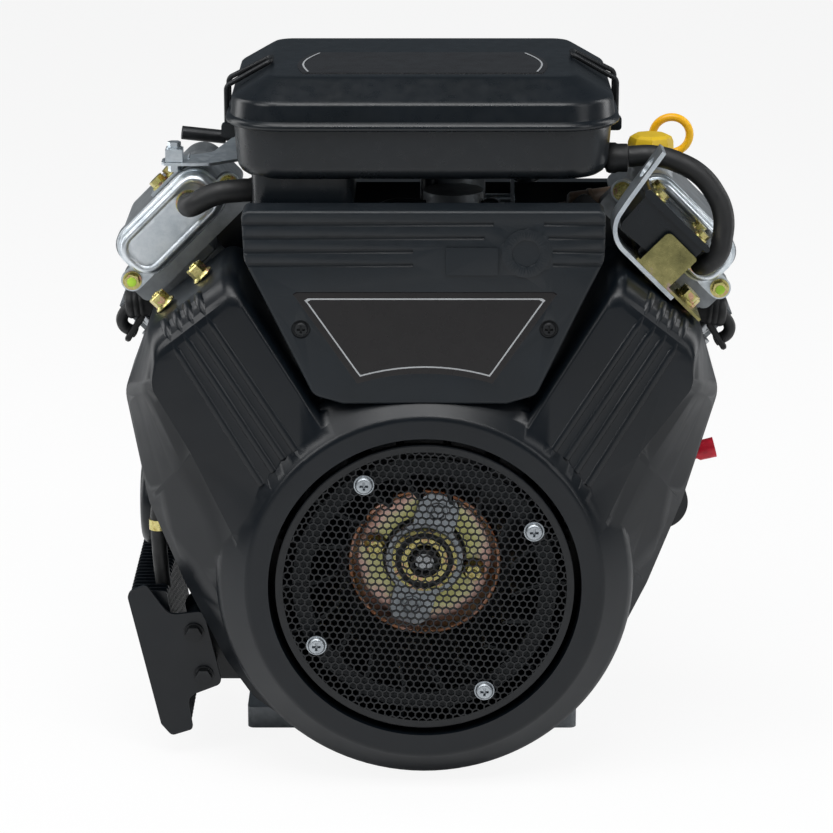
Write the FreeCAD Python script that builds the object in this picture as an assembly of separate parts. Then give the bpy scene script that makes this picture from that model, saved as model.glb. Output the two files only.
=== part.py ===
import FreeCAD, Part

import math
import os

from FreeCAD import Vector

# A small air-cooled V-twin gasoline engine with a horizontal crankshaft, in millimetres.
# The frame: the crankshaft runs along Y through the origin, +Y out of the power take-off (PTO) end,
# +X to the right seen from the flywheel end, +Z up. Y = 0 is the PTO mounting face.

# ------------------------------------------------------------------ driving dimensions
SHAFT_HEIGHT = 148.0          # crankshaft axis above the base the engine stands on
FRONT = -262.0                # plane of the air intake's front lip
GAP = 0.3                     # seat clearance between pieces that touch

# power take-off shaft and its mounting face
PTO_R = 28.575 / 2
PTO_LENGTH = 84.0
PTO_FACE_R = 84.0
PTO_BOLT_PCD = 142.0
PTO_BOLT_COUNT = 4
PTO_BOLT_R = 4.2
PTO_BOLT_DEPTH = 18.0

# cylinders
V_ANGLE = 90.0
BORE_R = 75.5 / 2
STROKE = 70.0
ROD_LENGTH = 108.0
COMPRESSION_HEIGHT = 25.0
DECK = STROKE / 2 + ROD_LENGTH + COMPRESSION_HEIGHT     # crank axis to the head gasket face
CYLINDER_Y = -88.0            # left cylinder's plane
CYLINDER_OFFSET = 22.0        # how far the right cylinder stands forward of the left
LINER_WALL = 3.0
BARREL_R = 47.0
BARREL_FOOT = 74.0            # where the barrel leaves the crankcase, along the cylinder axis
FIN_PITCH = 9.6
FIN_THICKNESS = 2.6
FIN_HALF_T = 58.0
FIN_HALF_Y = 48.0
FIN_CORNER = 16.0
BARREL_FINS = 8

# cylinder head and rocker box
HEAD_CORE_T = 42.0
HEAD_CORE_Y = 40.0
HEAD_FINS = 7
FIN_TRIM_T, FIN_TRIM_FROM = -44.0, 204.0      # the head's outer fins are short beyond this
GASKET = 1.2
BOX_FOOT = 262.0              # where the rocker box starts, along the cylinder axis
BOX_T0, BOX_T1 = -15.0, 93.0
BOX_FRONT, BOX_REAR = 62.0, 40.0      # from the cylinder plane, forward and back
COVER_T0, COVER_T1 = 0.0, 80.0
COVER_FOOT, COVER_TOP = 276.0, 308.0
COVER_RIM = 4.0
COVER_CORNER = 10.0
COVER_DEPTH = 12.0
COVER_SHEET = 1.6
COVER_BOLT_T = (-10.0, 88.0)
COVER_BOLT_ALONG = 282.0

# crankcase
CASE_FRONT, CASE_REAR = -160.0, -28.0
CASE_LEFT, CASE_RIGHT = -92.0, 78.0
CASE_WALL = 9.0
CRANK_ROOM_R = 60.0
CRANK_ROOM_FRONT = -136.0
SUMP_FLOOR = -138.0
FOOT_X = (-109.0, 91.0)
FOOT_Y = (-131.0, -51.0)
FOOT_HALF_X, FOOT_HALF_Y = 21.0, 19.0
FOOT_THICKNESS = 16.0
FOOT_HOLE_R = 5.25

# crankshaft
PIN_R = 18.0
JOURNAL_R = 17.5
WEB_R = 54.0
WEB_THICKNESS = 12.0
CAM_CENTRE = 75.0
GEAR_MODULE = 2.0
CRANK_TEETH = 25
CAM_TEETH = 50
GEAR_WIDTH = 8.0
GEAR_Y = -35.5
SLIDING = 0.03                # radial clearance of what is pushed onto a shaft
TOOTH_FOOT, TOOTH_TIP = 0.33, 0.12      # half widths of a tooth as shares of its pitch

# flywheel, fan and screen
FLYWHEEL_R = 97.0
FLYWHEEL_REAR, FLYWHEEL_FRONT = -170.0, -190.0
RING_GEAR_R = 104.0
RING_GEAR_TEETH = 84
RING_GEAR_WIDTH = 10.0
FAN_R = 103.0
FAN_HUB_R = 60.0
FAN_BLADES = 18
FAN_FRONT = -252.0
BLADE_THICKNESS = 2.4
SCREEN_R = 104.0
SCREEN_FLAT_R = 97.0
SCREEN_THICKNESS = 1.6
SCREEN_FACE = FRONT - 1.0
SCREEN_SCREW_R = 86.0
SCREEN_SCREW_ANGLE = 29.0
SCREEN_HOLE_PITCH = 15.5
SCREEN_WEB = 3.4

# blower housing
APERTURE_R = 108.5
RING_FACE_R = 124.5
HOUSING_R = 146.0
SHEET = 2.4
WING_FACE = FRONT + 9.0
WING_FOOT = FRONT + 48.0
BACKPLATE_REAR = CASE_FRONT - GAP
BACKPLATE = 3.0
HOUSING_REAR = BACKPLATE_REAR - BACKPLATE

# front panel
PANEL_TOP = 266.0
PANEL_FACE = FRONT + 7.0
PANEL_WALL = 3.0

# air cleaner
AC_CENTRE_X = -1.5
AC_HALF = 132.0
AC_FRONT = FRONT + 24.0
AC_DEPTH = 206.0
AC_CORNER = 40.0
AC_BOTTOM = 281.0
AC_JOINT = 319.0
AC_LEDGE = AC_JOINT + 15.0
AC_TOP = AC_LEDGE + 15.0

# oil cooler
COOLER_FRONT = FRONT + 60.0
COOLER_LENGTH = 126.0
COOLER_PLATE = 3.0
COOLER_FIN_PITCH = 7.0

MADE = {}

# of the crankcase and its cover
CASE_OUTLINE = [(CASE_LEFT, SUMP_FLOOR, 14), (CASE_RIGHT, SUMP_FLOOR, 14), (CASE_RIGHT, 14, 12),
                (CASE_RIGHT - 6, 22, 10), (34, 128, 16), (-34, 128, 16), (CASE_LEFT + 8, 32, 10),
                (CASE_LEFT, 22, 12)]
CAM_ROOM_R = GEAR_MODULE * CAM_TEETH / 2 + 4.5
CAM_JOURNAL_R = 8.0
BEARING_R = 31.0
BEARING_WIDTH = 13.0
SEAL_WIDTH = 7.0
COVER_FACE = CASE_REAR + GAP
COVER_BOLTS = [(CASE_LEFT + 9, -20), (CASE_LEFT + 9, -90), (CASE_LEFT + 20, SUMP_FLOOR + 9), (0, SUMP_FLOOR + 9),
               (CASE_RIGHT - 20, SUMP_FLOOR + 9), (CASE_RIGHT - 9, -90), (CASE_RIGHT - 9, -20)]

# of the cylinders, heads and rocker boxes
COVER_OUTLINE = [(COVER_T0, COVER_FOOT, COVER_CORNER), (COVER_T1, COVER_FOOT, COVER_CORNER),
                 (COVER_T1, COVER_TOP, COVER_CORNER), (COVER_T0, COVER_TOP, COVER_CORNER)]
PLUG_T, PLUG_Y = -30.0, -30.0
PLUG_R = 7.0
PLUG_SEAT = 236.0
EXHAUST_T, EXHAUST_ALONG, EXHAUST_R = -14.0, 208.0, 15.0
INLET_ALONG = 206.0
NIPPLE_LEFT, NIPPLE_RIGHT = (62.0, 294.0), (17.0, 287.0)
NIPPLE_R = 5.6

# of the crankshaft, cam and pistons
NOSE_R = 15.0
NUT_BORE_R = 9.0
CUP_FLOOR = 3.0
HUB_SHEET = 5.0
HUB_EAR = 36.0
HUB_TURN = 73.0
CUP_FRONT = FRONT + 58.0
HUB_FACE = CUP_FRONT + 6.0
PISTON_LENGTH = 42.0
PISTON_CLEARANCE = 0.06

# of the flywheel, fan, hub and screen
BLADE_CURVE = 70.0

# of the blower housing, backplate and front panel
LEFT_WING = [(-131, 225, 12), (-190, 178, 16), (-208, 130, 24), (-193, 48, 30), (-169, -12, 30), (-141, -70, 30),
             (-122, -98, 25), (-90, -122, 25), (-50, -136.5, 20), (-15, -90, 0), (-40, 60, 0), (-78, 140, 6)]
LEFT_FACE = [(-127.5, 203, 6), (-181, 162, 12), (-187, 143, 14), (-160, 95, 30), (-133, 37, 30), (-108, -20, 20),
             (-90, -50, 20), (-60, -80, 20), (-35, -95, 15), (-10, -60, 0), (-38, 58, 0), (-85.6, 135.2, 6)]
RIGHT_NARROW = [0, 0, 4, 13, 12, 12, 12, 8, 0, 0, 0, 0]
ROUNDED = (0, 1, 11)          # corners of the wing's upper edge, which rolls over to the face
WING_STATIONS = (0.0, 0.35, 0.6, 0.78, 0.9, 0.97, 1.0)
PANEL_SCREW_X, PANEL_SCREW_Z = 84.0, 184.0
PANEL_REAR = FRONT + 32.0
WING_RIB_LOW = [(-112.0, 73.0), (-104.0, 83.0), (-97.0, 92.0), (-88.5, 98.0)]
WING_RIB_TOP = [(-179.0, 186.8), (-171.5, 192.7), (-164.0, 198.7), (-156.0, 205.0)]
WING_RIB_R, WING_RIB_PROUD = 3.6, 1.4
WING_RIB_ROLL = [(20.0, 0.0), (8.0, 6.5), (3.5, 17.0), (6.0, 24.0)]      # from its top: back along it, then depth
WEB_Y = FRONT + 34.0
COOLER_BOLTS = [(-164.5, -54.0), (-158.0, -86.5)]
PANEL_BOSS_X, PANEL_BOSS_Z = 68.0, 237.0

# of the air cleaner
AC_WALL = 2.6
AC_STUDS = [(-70.0, -190.0), (70.0, -190.0), (-70.0, -70.0), (70.0, -70.0)]
CARB_X, CARB_Y = 20.0, -128.0
LATCH_SLOTS = [(28.0 - AC_HALF, -158.0), (AC_HALF - 31.0, -133.0)]
LATCH_R = 1.8
LATCH_HALF = 15.0
LATCH_PIVOT_Z = AC_JOINT - 13.0

# of the fuel system and controls
THROTTLE_R = 3.5
CONTROL_Z = 276.0
CHOKE_PIVOT = (-112.0, -30.0)

# of the right side: pump, bracket, strap, filler
PUMP_Y0, PUMP_Y1 = -222.0, -188.0
PUMP_TOP = 302.0              # along the right cylinder's axis
RIGHT_FLANGE_FRONT = CYLINDER_Y - CYLINDER_OFFSET - BOX_FRONT - GAP
EYE_T, EYE_ALONG, EYE_R = 94.7, 310.0, 8.0
EYE_LEAN = 7.0 / 40.0         # the strap's top leans this much off the cylinder axis
FILLER = (158.6, -140.0)
FILLER_Z = 278.0
DIP_R = 6.5
DIP_START, DIP_END = (66.0, -50.0, 24.0), (171.0, -50.0, 256.0)

# of the hoses, leads, cooler, filter and starter
HOSE_R = 8.0
VENT_R = 7.3
FILTER_X0, FILTER_Y, FILTER_Z = -134.0, -92.0, 12.0
FILTER_R, FILTER_LENGTH = 35.0, 74.0
STARTER_X, STARTER_Z = 120.0, -20.0
STARTER_R = 37.0
SOLENOID = (164.0, 20.0)


# ------------------------------------------------------------------ shape helpers
def box(x0, x1, y0, y1, z0, z1):
    """Box between two corners."""
    return Part.makeBox(x1 - x0, y1 - y0, z1 - z0, Vector(x0, y0, z0))


def rod(start, end, r):
    """Cylinder from one point to another."""
    a, b = Vector(*start), Vector(*end)
    return Part.makeCylinder(r, (b - a).Length, a, b - a)


def cone(start, end, r0, r1):
    """Truncated cone from one point to another."""
    a, b = Vector(*start), Vector(*end)
    return Part.makeCone(r0, r1, (b - a).Length, a, b - a)


def ring(start, end, r_in, r_out):
    """Tube from one point to another."""
    return rod(start, end, r_out).cut(rod(start, end, r_in))


def fuse(shapes):
    """One solid from several that touch."""
    shapes = list(shapes)
    whole = shapes[0].multiFuse(shapes[1:]) if len(shapes) > 1 else shapes[0]
    return whole.removeSplitter()


def cut(shape, tools):
    """Shape with every tool taken away."""
    tools = list(tools)
    return shape.cut(Part.makeCompound(tools)) if tools else shape


def corner_wire(points, level, plan=False):
    """Closed wire from (a, b, corner radius) points, with round corners as arcs.

    The points are X and Z in the plane Y = level, or X and Y in the plane Z = level for a plan.
    """
    edges, joints = [], []
    n = len(points)

    def place(point):
        return Vector(point[0], point[1], level) if plan else Vector(point[0], level, point[1])

    for i in range(n):
        p, q0, q1 = place(points[i]), place(points[i - 1]), place(points[(i + 1) % n])
        r = points[i][2] if len(points[i]) > 2 else 0.0
        if r <= 0:
            joints.append((p, None, p))
            continue
        d0, d1 = (q0 - p).normalize(), (q1 - p).normalize()
        half = d0.getAngle(d1) / 2
        reach = r / math.tan(half)
        middle = (d0 + d1).normalize()
        centre = p + middle * (r / math.sin(half))
        joints.append((p + d0 * reach, centre - middle * r, p + d1 * reach))
    for i in range(n):
        start, mid, end = joints[i]
        if mid is not None:
            edges.append(Part.Arc(start, mid, end).toShape())
        following = joints[(i + 1) % n][0]
        if (following - end).Length > 1e-6:
            edges.append(Part.LineSegment(end, following).toShape())
    return Part.Wire(edges)


def slab(points, z0, z1):
    """Solid with an XY outline of (x, y, corner radius) points, from z0 to z1."""
    face = Part.Face(corner_wire(points, z0, plan=True))
    return face.extrude(Vector(0, 0, z1 - z0))


def prism(points, y0, y1):
    """Solid with an XZ outline of (x, z, corner radius) points, from y0 to y1."""
    face = Part.Face(corner_wire(points, y0))
    return face.extrude(Vector(0, y1 - y0, 0))


def loft(sections):
    """Ruled solid through closed wires that have the same number of edges."""
    return Part.makeLoft(sections, True, True)


def turned(profile):
    """Solid of revolution about the crankshaft axis, from (r, y) points of its closed profile."""
    points = [Vector(r, y, 0) for r, y in profile]
    wire = Part.makePolygon(points + [points[0]])
    return Part.Face(wire).revolve(Vector(0, 0, 0), Vector(0, 1, 0), 360)


def tube(points, r, bend=None):
    """Round tube along straight runs joined by tangent arcs as large as the runs allow."""
    pts = [Vector(*p) for p in points]
    edges, at = [], pts[0]
    for i in range(1, len(pts) - 1):
        d0, d1 = (pts[i - 1] - pts[i]).normalize(), (pts[i + 1] - pts[i]).normalize()
        half = d0.getAngle(d1) / 2
        shorter = min((pts[i - 1] - pts[i]).Length, (pts[i + 1] - pts[i]).Length)
        reach = 0.45 * shorter if bend is None else min(bend / math.tan(half), 0.45 * shorter)
        radius = reach * math.tan(half)
        middle = (d0 + d1).normalize()
        centre = pts[i] + middle * (radius / math.sin(half))
        start, end = pts[i] + d0 * reach, pts[i] + d1 * reach
        if (start - at).Length > 1e-6:
            edges.append(Part.LineSegment(at, start).toShape())
        edges.append(Part.Arc(start, centre - middle * radius, end).toShape())
        at = end
    edges.append(Part.LineSegment(at, pts[-1]).toShape())
    path = Part.Wire(edges)
    circle = Part.Wire([Part.makeCircle(r, pts[0], pts[1] - pts[0])])
    return path.makePipeShell([circle], True, False)


def hexagon(centre, axis, across_flats, height):
    """Hexagonal prism that starts at centre and runs along axis."""
    r = across_flats / math.sqrt(3)
    points = [Vector(r * math.cos(math.radians(60 * k)), r * math.sin(math.radians(60 * k)), 0)
              for k in range(7)]
    solid = Part.Face(Part.makePolygon(points)).extrude(Vector(0, 0, height))
    turn = FreeCAD.Rotation(Vector(0, 0, 1), Vector(*axis))
    solid.Placement = FreeCAD.Placement(Vector(*centre), turn)
    return solid


def flange_bolt(seat, axis, size, shank):
    """Hex flange bolt whose head stands on seat and points along axis; its shank goes the other way."""
    a, c = Vector(*axis).normalize(), Vector(*seat)
    head = hexagon(tuple(c), tuple(a), 1.65 * size, 0.95 * size)
    washer = rod(tuple(c), tuple(c + a * (0.22 * size)), 1.12 * size)
    body = rod(tuple(c - a * shank), tuple(c + a), size / 2)
    return head.fuse(washer).fuse(body)


def turn_y(shape, degrees, dy=0.0):
    """Copy turned about the crankshaft axis and moved along it."""
    made = shape.copy()
    made.rotate(Vector(0, 0, 0), Vector(0, 1, 0), degrees)
    made.translate(Vector(0, dy, 0))
    return made


def mirror_x(shape):
    """Copy mirrored from left to right."""
    return shape.mirror(Vector(0, 0, 0), Vector(1, 0, 0))


def on_left(shape):
    """From the cylinder's own frame, where Z runs out along the bore, to the left cylinder."""
    return turn_y(shape, -V_ANGLE / 2, CYLINDER_Y)


def on_right(shape):
    """From the cylinder's own frame to the right cylinder, which mirrors the left."""
    made = mirror_x(turn_y(shape, -V_ANGLE / 2))
    made.translate(Vector(0, CYLINDER_Y - CYLINDER_OFFSET, 0))
    return made


def gear(teeth, module, width, y0, bore):
    """Spur gear about the crankshaft axis with straight-flanked teeth, one on +Z."""
    tip, root = module * (teeth / 2 + 0.9), module * (teeth / 2 - 1.15)
    points = []
    for k in range(teeth):
        for share, r in ((-TOOTH_FOOT, root), (-TOOTH_TIP, tip), (TOOTH_TIP, tip), (TOOTH_FOOT, root)):
            a = math.pi / 2 + 2 * math.pi * (k + share) / teeth
            points.append(Vector(r * math.cos(a), y0, r * math.sin(a)))
    solid = Part.Face(Part.makePolygon(points + [points[0]])).extrude(Vector(0, width, 0))
    return solid.cut(rod((0, y0 - 1, 0), (0, y0 + width + 1, 0), bore))


def keep(name, shape):
    """Files a finished sub-part under its node name."""
    MADE[name] = shape
    return shape


# ------------------------------------------------------------------ crankcase and its cover
def make_crankcase():
    """Cast crankcase with the crank chamber, bearing seat, cylinder pads and feet."""
    solid = prism(CASE_OUTLINE, CASE_FRONT, CASE_REAR)
    pad = box(-FIN_HALF_T + 6, FIN_HALF_T - 6, -FIN_HALF_Y + 1, FIN_HALF_Y - 1, 30, BARREL_FOOT)
    adapter = rod((CASE_LEFT + 4, FILTER_Y, FILTER_Z), (FILTER_X0 + GAP, FILTER_Y, FILTER_Z), 21.0)
    solid = fuse([solid, on_left(pad), on_right(pad), adapter])
    feet = []
    for x in FOOT_X:
        for y in FOOT_Y:
            foot = box(x - FOOT_HALF_X, x + FOOT_HALF_X, y - FOOT_HALF_Y, y + FOOT_HALF_Y,
                       -SHAFT_HEIGHT, -SHAFT_HEIGHT + FOOT_THICKNESS)
            feet.append(foot.makeFillet(5.0, [e for e in foot.Edges if abs(e.tangentAt(0).z) > 0.9]))
    floor = box(FOOT_X[0], FOOT_X[1], FOOT_Y[0] - 8, FOOT_Y[1] + 8, SUMP_FLOOR - 4, SUMP_FLOOR + 12)
    solid = fuse([solid, floor] + feet)
    tools = [rod((0, CRANK_ROOM_FRONT, 0), (0, CASE_REAR + 1, 0), CRANK_ROOM_R),
             rod((0, GEAR_Y - 3, CAM_CENTRE), (0, CASE_REAR + 1, CAM_CENTRE), CAM_ROOM_R),
             rod((0, CRANK_ROOM_FRONT, CAM_CENTRE), (0, CASE_REAR + 1, CAM_CENTRE), 17.0),
             rod((0, CASE_FRONT - 1, 0), (0, CRANK_ROOM_FRONT, 0), BEARING_R),
             rod((0, CRANK_ROOM_FRONT - 10, CAM_CENTRE), (0, CRANK_ROOM_FRONT + 1, CAM_CENTRE),
                 CAM_JOURNAL_R + 0.05)]
    sump = box(CASE_LEFT + CASE_WALL, CASE_RIGHT - CASE_WALL, CRANK_ROOM_FRONT, CASE_REAR + 1,
               SUMP_FLOOR + CASE_WALL, -30)
    tools.append(sump)
    bore = rod((0, 0, 0), (0, 0, BARREL_FOOT + 1), BORE_R + LINER_WALL + 0.6)
    room = box(-FIN_HALF_T - 3, FIN_HALF_T + 3, -FIN_HALF_Y - 2, FIN_HALF_Y + 1, BARREL_FOOT, DECK)
    tools += [on_left(bore), on_right(bore), on_left(room), on_right(room)]
    for x in FOOT_X:
        for y in FOOT_Y:
            tools.append(rod((x, y, -SHAFT_HEIGHT - 1), (x, y, -SHAFT_HEIGHT + FOOT_THICKNESS + 20),
                             FOOT_HOLE_R))
    tools.append(dipstick_rod(0, 60, DIP_R + GAP))
    return keep("crankcase", cut(solid, tools))


def make_case_cover():
    """Cover on the PTO side, with the mounting face, the bolt holes and the shaft's bearing seat."""
    body = prism(CASE_OUTLINE, COVER_FACE, COVER_FACE + 10)
    boss = turned([(0, COVER_FACE), (PTO_FACE_R + 4, COVER_FACE), (PTO_FACE_R, 0), (0, 0)])
    ribs = []
    for k in range(8):
        rib = box(-3, 3, COVER_FACE, COVER_FACE + 20, 40, 118)
        ribs.append(turn_y(rib, 22.5 + 45 * k))
    keeper = prism(CASE_OUTLINE, COVER_FACE, 0)
    solid = fuse([body, boss] + [rib.common(keeper) for rib in ribs])
    tools = [rod((0, COVER_FACE - 1, 0), (0, -SEAL_WIDTH - 2, 0), BEARING_R),
             rod((0, -SEAL_WIDTH - 2.5, 0), (0, 1, 0), 26.0),
             rod((0, COVER_FACE - 1, CAM_CENTRE), (0, COVER_FACE + 4.5, CAM_CENTRE), CAM_ROOM_R),
             rod((0, COVER_FACE - 1, CAM_CENTRE), (0, -8, CAM_CENTRE), CAM_JOURNAL_R + 0.05),
             rod((0, COVER_FACE - 1, 0), (0, COVER_FACE + 4.5, 0), 34.0)]
    for k in range(PTO_BOLT_COUNT):
        a = math.radians(45 + 360 / PTO_BOLT_COUNT * k)
        x, z = PTO_BOLT_PCD / 2 * math.cos(a), PTO_BOLT_PCD / 2 * math.sin(a)
        tools.append(rod((x, -PTO_BOLT_DEPTH, z), (x, 1, z), PTO_BOLT_R))
    return keep("crankcase_cover", cut(solid, tools))


def make_cover_bolts():
    """Flange bolts round the crankcase cover."""
    seat = COVER_FACE + 10
    bolts = [flange_bolt((x, seat, z), (0, 1, 0), 8.0, 8.0) for x, z in COVER_BOLTS]
    cover = MADE["crankcase_cover"]
    tools = [rod((x, COVER_FACE - 1, z), (x, seat + 1, z), 4.2) for x, z in COVER_BOLTS]
    tools += [rod((x, seat, z), (x, 1, z), 11.0) for x, z in COVER_BOLTS]
    MADE["crankcase_cover"] = cut(cover, tools)
    return keep("cover_bolts", Part.makeCompound(bolts))


def make_bearings():
    """Ball bearings and lip seal that carry the crankshaft."""
    front = ring((0, CASE_FRONT + 1.5, 0), (0, CASE_FRONT + 1.5 + BEARING_WIDTH, 0), JOURNAL_R + 0.05, BEARING_R)
    rear = ring((0, -SEAL_WIDTH - 2 - BEARING_WIDTH, 0), (0, -SEAL_WIDTH - 2, 0), JOURNAL_R + 0.05, BEARING_R)
    seal = ring((0, -SEAL_WIDTH - 1, 0), (0, -1, 0), PTO_R + 0.6, 26.0)
    keep("bearings", Part.makeCompound([front, rear, seal]))


# ------------------------------------------------------------------ cylinders, heads and rocker boxes
def finned_plate(z0, half_t, half_y, corner, thickness=FIN_THICKNESS):
    """One cooling fin square to the cylinder axis."""
    points = [(-half_t, -half_y, corner), (half_t, -half_y, corner), (half_t, half_y, corner),
              (-half_t, half_y, corner)]
    return slab(points, z0, z0 + thickness)


def barrel():
    """Finned cylinder barrel on its own axis, with the bore through it."""
    core = rod((0, 0, BARREL_FOOT), (0, 0, DECK), BARREL_R - 1)
    foot = finned_plate(BARREL_FOOT + GAP, FIN_HALF_T - 6, FIN_HALF_Y - 1, 8, 9)
    deck = finned_plate(DECK - 6, FIN_HALF_T - 6, FIN_HALF_Y, FIN_CORNER, 6)
    fins = []
    for k in range(BARREL_FINS):
        z = BARREL_FOOT + 9 + FIN_PITCH * (k + 0.6)
        fins.append(finned_plate(z, FIN_HALF_T, FIN_HALF_Y, FIN_CORNER))
    skirt = rod((0, 0, BARREL_FOOT - 12), (0, 0, BARREL_FOOT + 2), BORE_R + LINER_WALL)
    core = core.common(rod((0, 0, BARREL_FOOT + GAP), (0, 0, DECK), BARREL_R))
    solid = fuse([core, foot, deck, skirt] + fins)
    return solid.cut(rod((0, 0, 0), (0, 0, DECK + 1), BORE_R))


def head():
    """Finned head with its rocker box on the end, on the cylinder's own frame."""
    z0 = DECK + GASKET
    base = finned_plate(z0, FIN_HALF_T - 6, FIN_HALF_Y, FIN_CORNER, 10)
    core = box(-HEAD_CORE_T, HEAD_CORE_T, -HEAD_CORE_Y, HEAD_CORE_Y, z0, BOX_FOOT)
    fins = []
    pitch = (BOX_FOOT - 6 - z0 - 10) / HEAD_FINS
    for k in range(HEAD_FINS):
        fins.append(finned_plate(z0 + 10 + pitch * (k + 0.55), FIN_HALF_T, FIN_HALF_Y, FIN_CORNER))
    band = [(BOX_T0, BOX_FOOT, 6), (BOX_T1, BOX_FOOT, 6), (BOX_T1, COVER_BOLT_ALONG + 8, 7),
            (BOX_T0, COVER_BOLT_ALONG + 8, 7)]
    flange = fuse([prism(grown(COVER_OUTLINE, COVER_RIM), -BOX_FRONT, -BOX_FRONT + 12),
                   prism(band, -BOX_FRONT, -BOX_FRONT + 12)])
    behind = [(COVER_T0 - 2, BOX_FOOT + 4, 6), (COVER_T1 + 2, BOX_FOOT + 4, 6), (COVER_T1 + 2, COVER_TOP + 2, 16),
              (COVER_T0 - 2, COVER_TOP + 2, 12)]
    room = prism(behind, -BOX_FRONT + 11, BOX_REAR)
    neck = box(-HEAD_CORE_T, HEAD_CORE_T, -HEAD_CORE_Y, HEAD_CORE_Y, BOX_FOOT - 8, BOX_FOOT + 8)
    solid = fuse([base, core, flange, room, neck] + fins)
    hollow = box(COVER_T0 + 5, COVER_T1 - 5, -BOX_FRONT - 1, BOX_REAR - 8, COVER_FOOT + 5, COVER_TOP - 5)
    chamber = rod((0, 0, z0 - 1), (0, 0, z0 + 7), BORE_R - 3)
    trim = box(-FIN_HALF_T - 1, FIN_TRIM_T, -FIN_HALF_Y - 1, FIN_HALF_Y + 1, FIN_TRIM_FROM, BOX_FOOT - 0.5)
    tools = [hollow, chamber, trim]
    for t in COVER_BOLT_T:
        tools.append(rod((t, -BOX_FRONT - 1, COVER_BOLT_ALONG), (t, -BOX_FRONT + 10, COVER_BOLT_ALONG), 3.1))
    tools.append(rod((PLUG_T, PLUG_Y, z0 + 5), (PLUG_T, PLUG_Y, BOX_FOOT + 9), PLUG_R + 0.2))
    tools.append(box(PLUG_T - 14, PLUG_T + 14, -FIN_HALF_Y - 1, PLUG_Y + 14, PLUG_SEAT, BOX_FOOT + 20).cut(room))
    port = rod((EXHAUST_T, HEAD_CORE_Y - 22, EXHAUST_ALONG), (EXHAUST_T, FIN_HALF_Y + 7, EXHAUST_ALONG), 22.0)
    solid = cut(solid, tools).fuse(port)
    tools = [rod((EXHAUST_T, HEAD_CORE_Y - 24, EXHAUST_ALONG), (EXHAUST_T, FIN_HALF_Y + 8, EXHAUST_ALONG), EXHAUST_R)]
    inlet = rod((30, 0, INLET_ALONG), (FIN_HALF_T + 6, 0, INLET_ALONG), 19.0)
    solid = solid.fuse(inlet)
    tools.append(rod((34, 0, INLET_ALONG), (FIN_HALF_T + 8, 0, INLET_ALONG), 14.0))
    return cut(solid, tools).removeSplitter()


def rocker_cover(nipple_at):
    """Pressed steel rocker cover that faces forward, on the cylinder's own frame, with its hose nipple."""
    y0 = -BOX_FRONT - GAP
    outline = COVER_OUTLINE
    flange = prism(grown(outline, COVER_RIM), y0 - COVER_SHEET, y0)
    ears = []
    for t in COVER_BOLT_T:
        inner = COVER_T0 + 6 if t < 0 else COVER_T1 - 6
        plate = box(min(t, inner), max(t, inner), y0 - COVER_SHEET, y0, COVER_BOLT_ALONG - 8, COVER_BOLT_ALONG + 8)
        ears += [plate, rod((t, y0 - COVER_SHEET, COVER_BOLT_ALONG), (t, y0, COVER_BOLT_ALONG), 8.0)]
    pan = loft([corner_wire(outline, y0), corner_wire(grown(outline, -4.0), y0 - COVER_DEPTH)])
    solid = fuse([flange, pan] + ears)
    inner = loft([corner_wire(grown(outline, -COVER_SHEET), y0 + 0.01),
                  corner_wire(grown(outline, -4.0 - COVER_SHEET), y0 - COVER_DEPTH + COVER_SHEET)])
    holes = [rod((t, y0 - 5, COVER_BOLT_ALONG), (t, y0 + 1, COVER_BOLT_ALONG), 3.2) for t in COVER_BOLT_T]
    solid = cut(solid, [inner] + holes)
    t, along = nipple_at
    nipple = ring((t, y0 - COVER_DEPTH - 9, along), (t, y0 - COVER_DEPTH + 0.5, along), 4.0, NIPPLE_R)
    return fuse([solid, nipple])


def grown(points, d):
    """Outline of (a, b, radius) points moved outwards by d; its points run anticlockwise."""
    n, out = len(points), []
    for i in range(n):
        p, a, b = points[i], points[i - 1], points[(i + 1) % n]
        u = ((p[0] - a[0]), (p[1] - a[1]))
        v = ((b[0] - p[0]), (b[1] - p[1]))
        lu, lv = math.hypot(*u), math.hypot(*v)
        nu, nv = (u[1] / lu, -u[0] / lu), (v[1] / lv, -v[0] / lv)
        share = d / (1 + nu[0] * nv[0] + nu[1] * nv[1])
        radius = p[2] if len(p) > 2 else 0.0
        out.append((p[0] + (nu[0] + nv[0]) * share, p[1] + (nu[1] + nv[1]) * share,
                    max(radius + d, 0.6) if radius > 0 else 0.0))
    return out


def make_cylinders():
    """Both cylinders with heads, covers, bolts and spark plugs."""
    gasket = finned_plate(DECK + 0.1, FIN_HALF_T - 7, FIN_HALF_Y - 1, FIN_CORNER, GASKET - 0.2)
    gasket = gasket.cut(rod((0, 0, 0), (0, 0, 300), BORE_R + 1))
    for side, place, nipple in (("left", on_left, NIPPLE_LEFT), ("right", on_right, NIPPLE_RIGHT)):
        keep("cylinder_" + side, place(barrel()))
        keep("cylinder_head_" + side, place(head()))
        keep("rocker_cover_" + side, place(rocker_cover(nipple)))
    for name, shape in (("head_gaskets", gasket), ("spark_plugs", spark_plug()), ("plug_boots", plug_boot())):
        keep(name, Part.makeCompound([on_left(shape), on_right(shape)]))


def cover_bolt_set(place):
    """Two bolts of one rocker cover."""
    seat = -BOX_FRONT - GAP - COVER_SHEET
    return [place(flange_bolt((t, seat, COVER_BOLT_ALONG), (0, -1, 0), 6.0, 10.0)) for t in COVER_BOLT_T]


def make_rocker_bolts():
    """Flange bolts of both rocker covers."""
    keep("rocker_cover_bolts", Part.makeCompound(cover_bolt_set(on_left) + cover_bolt_set(on_right)))


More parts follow.
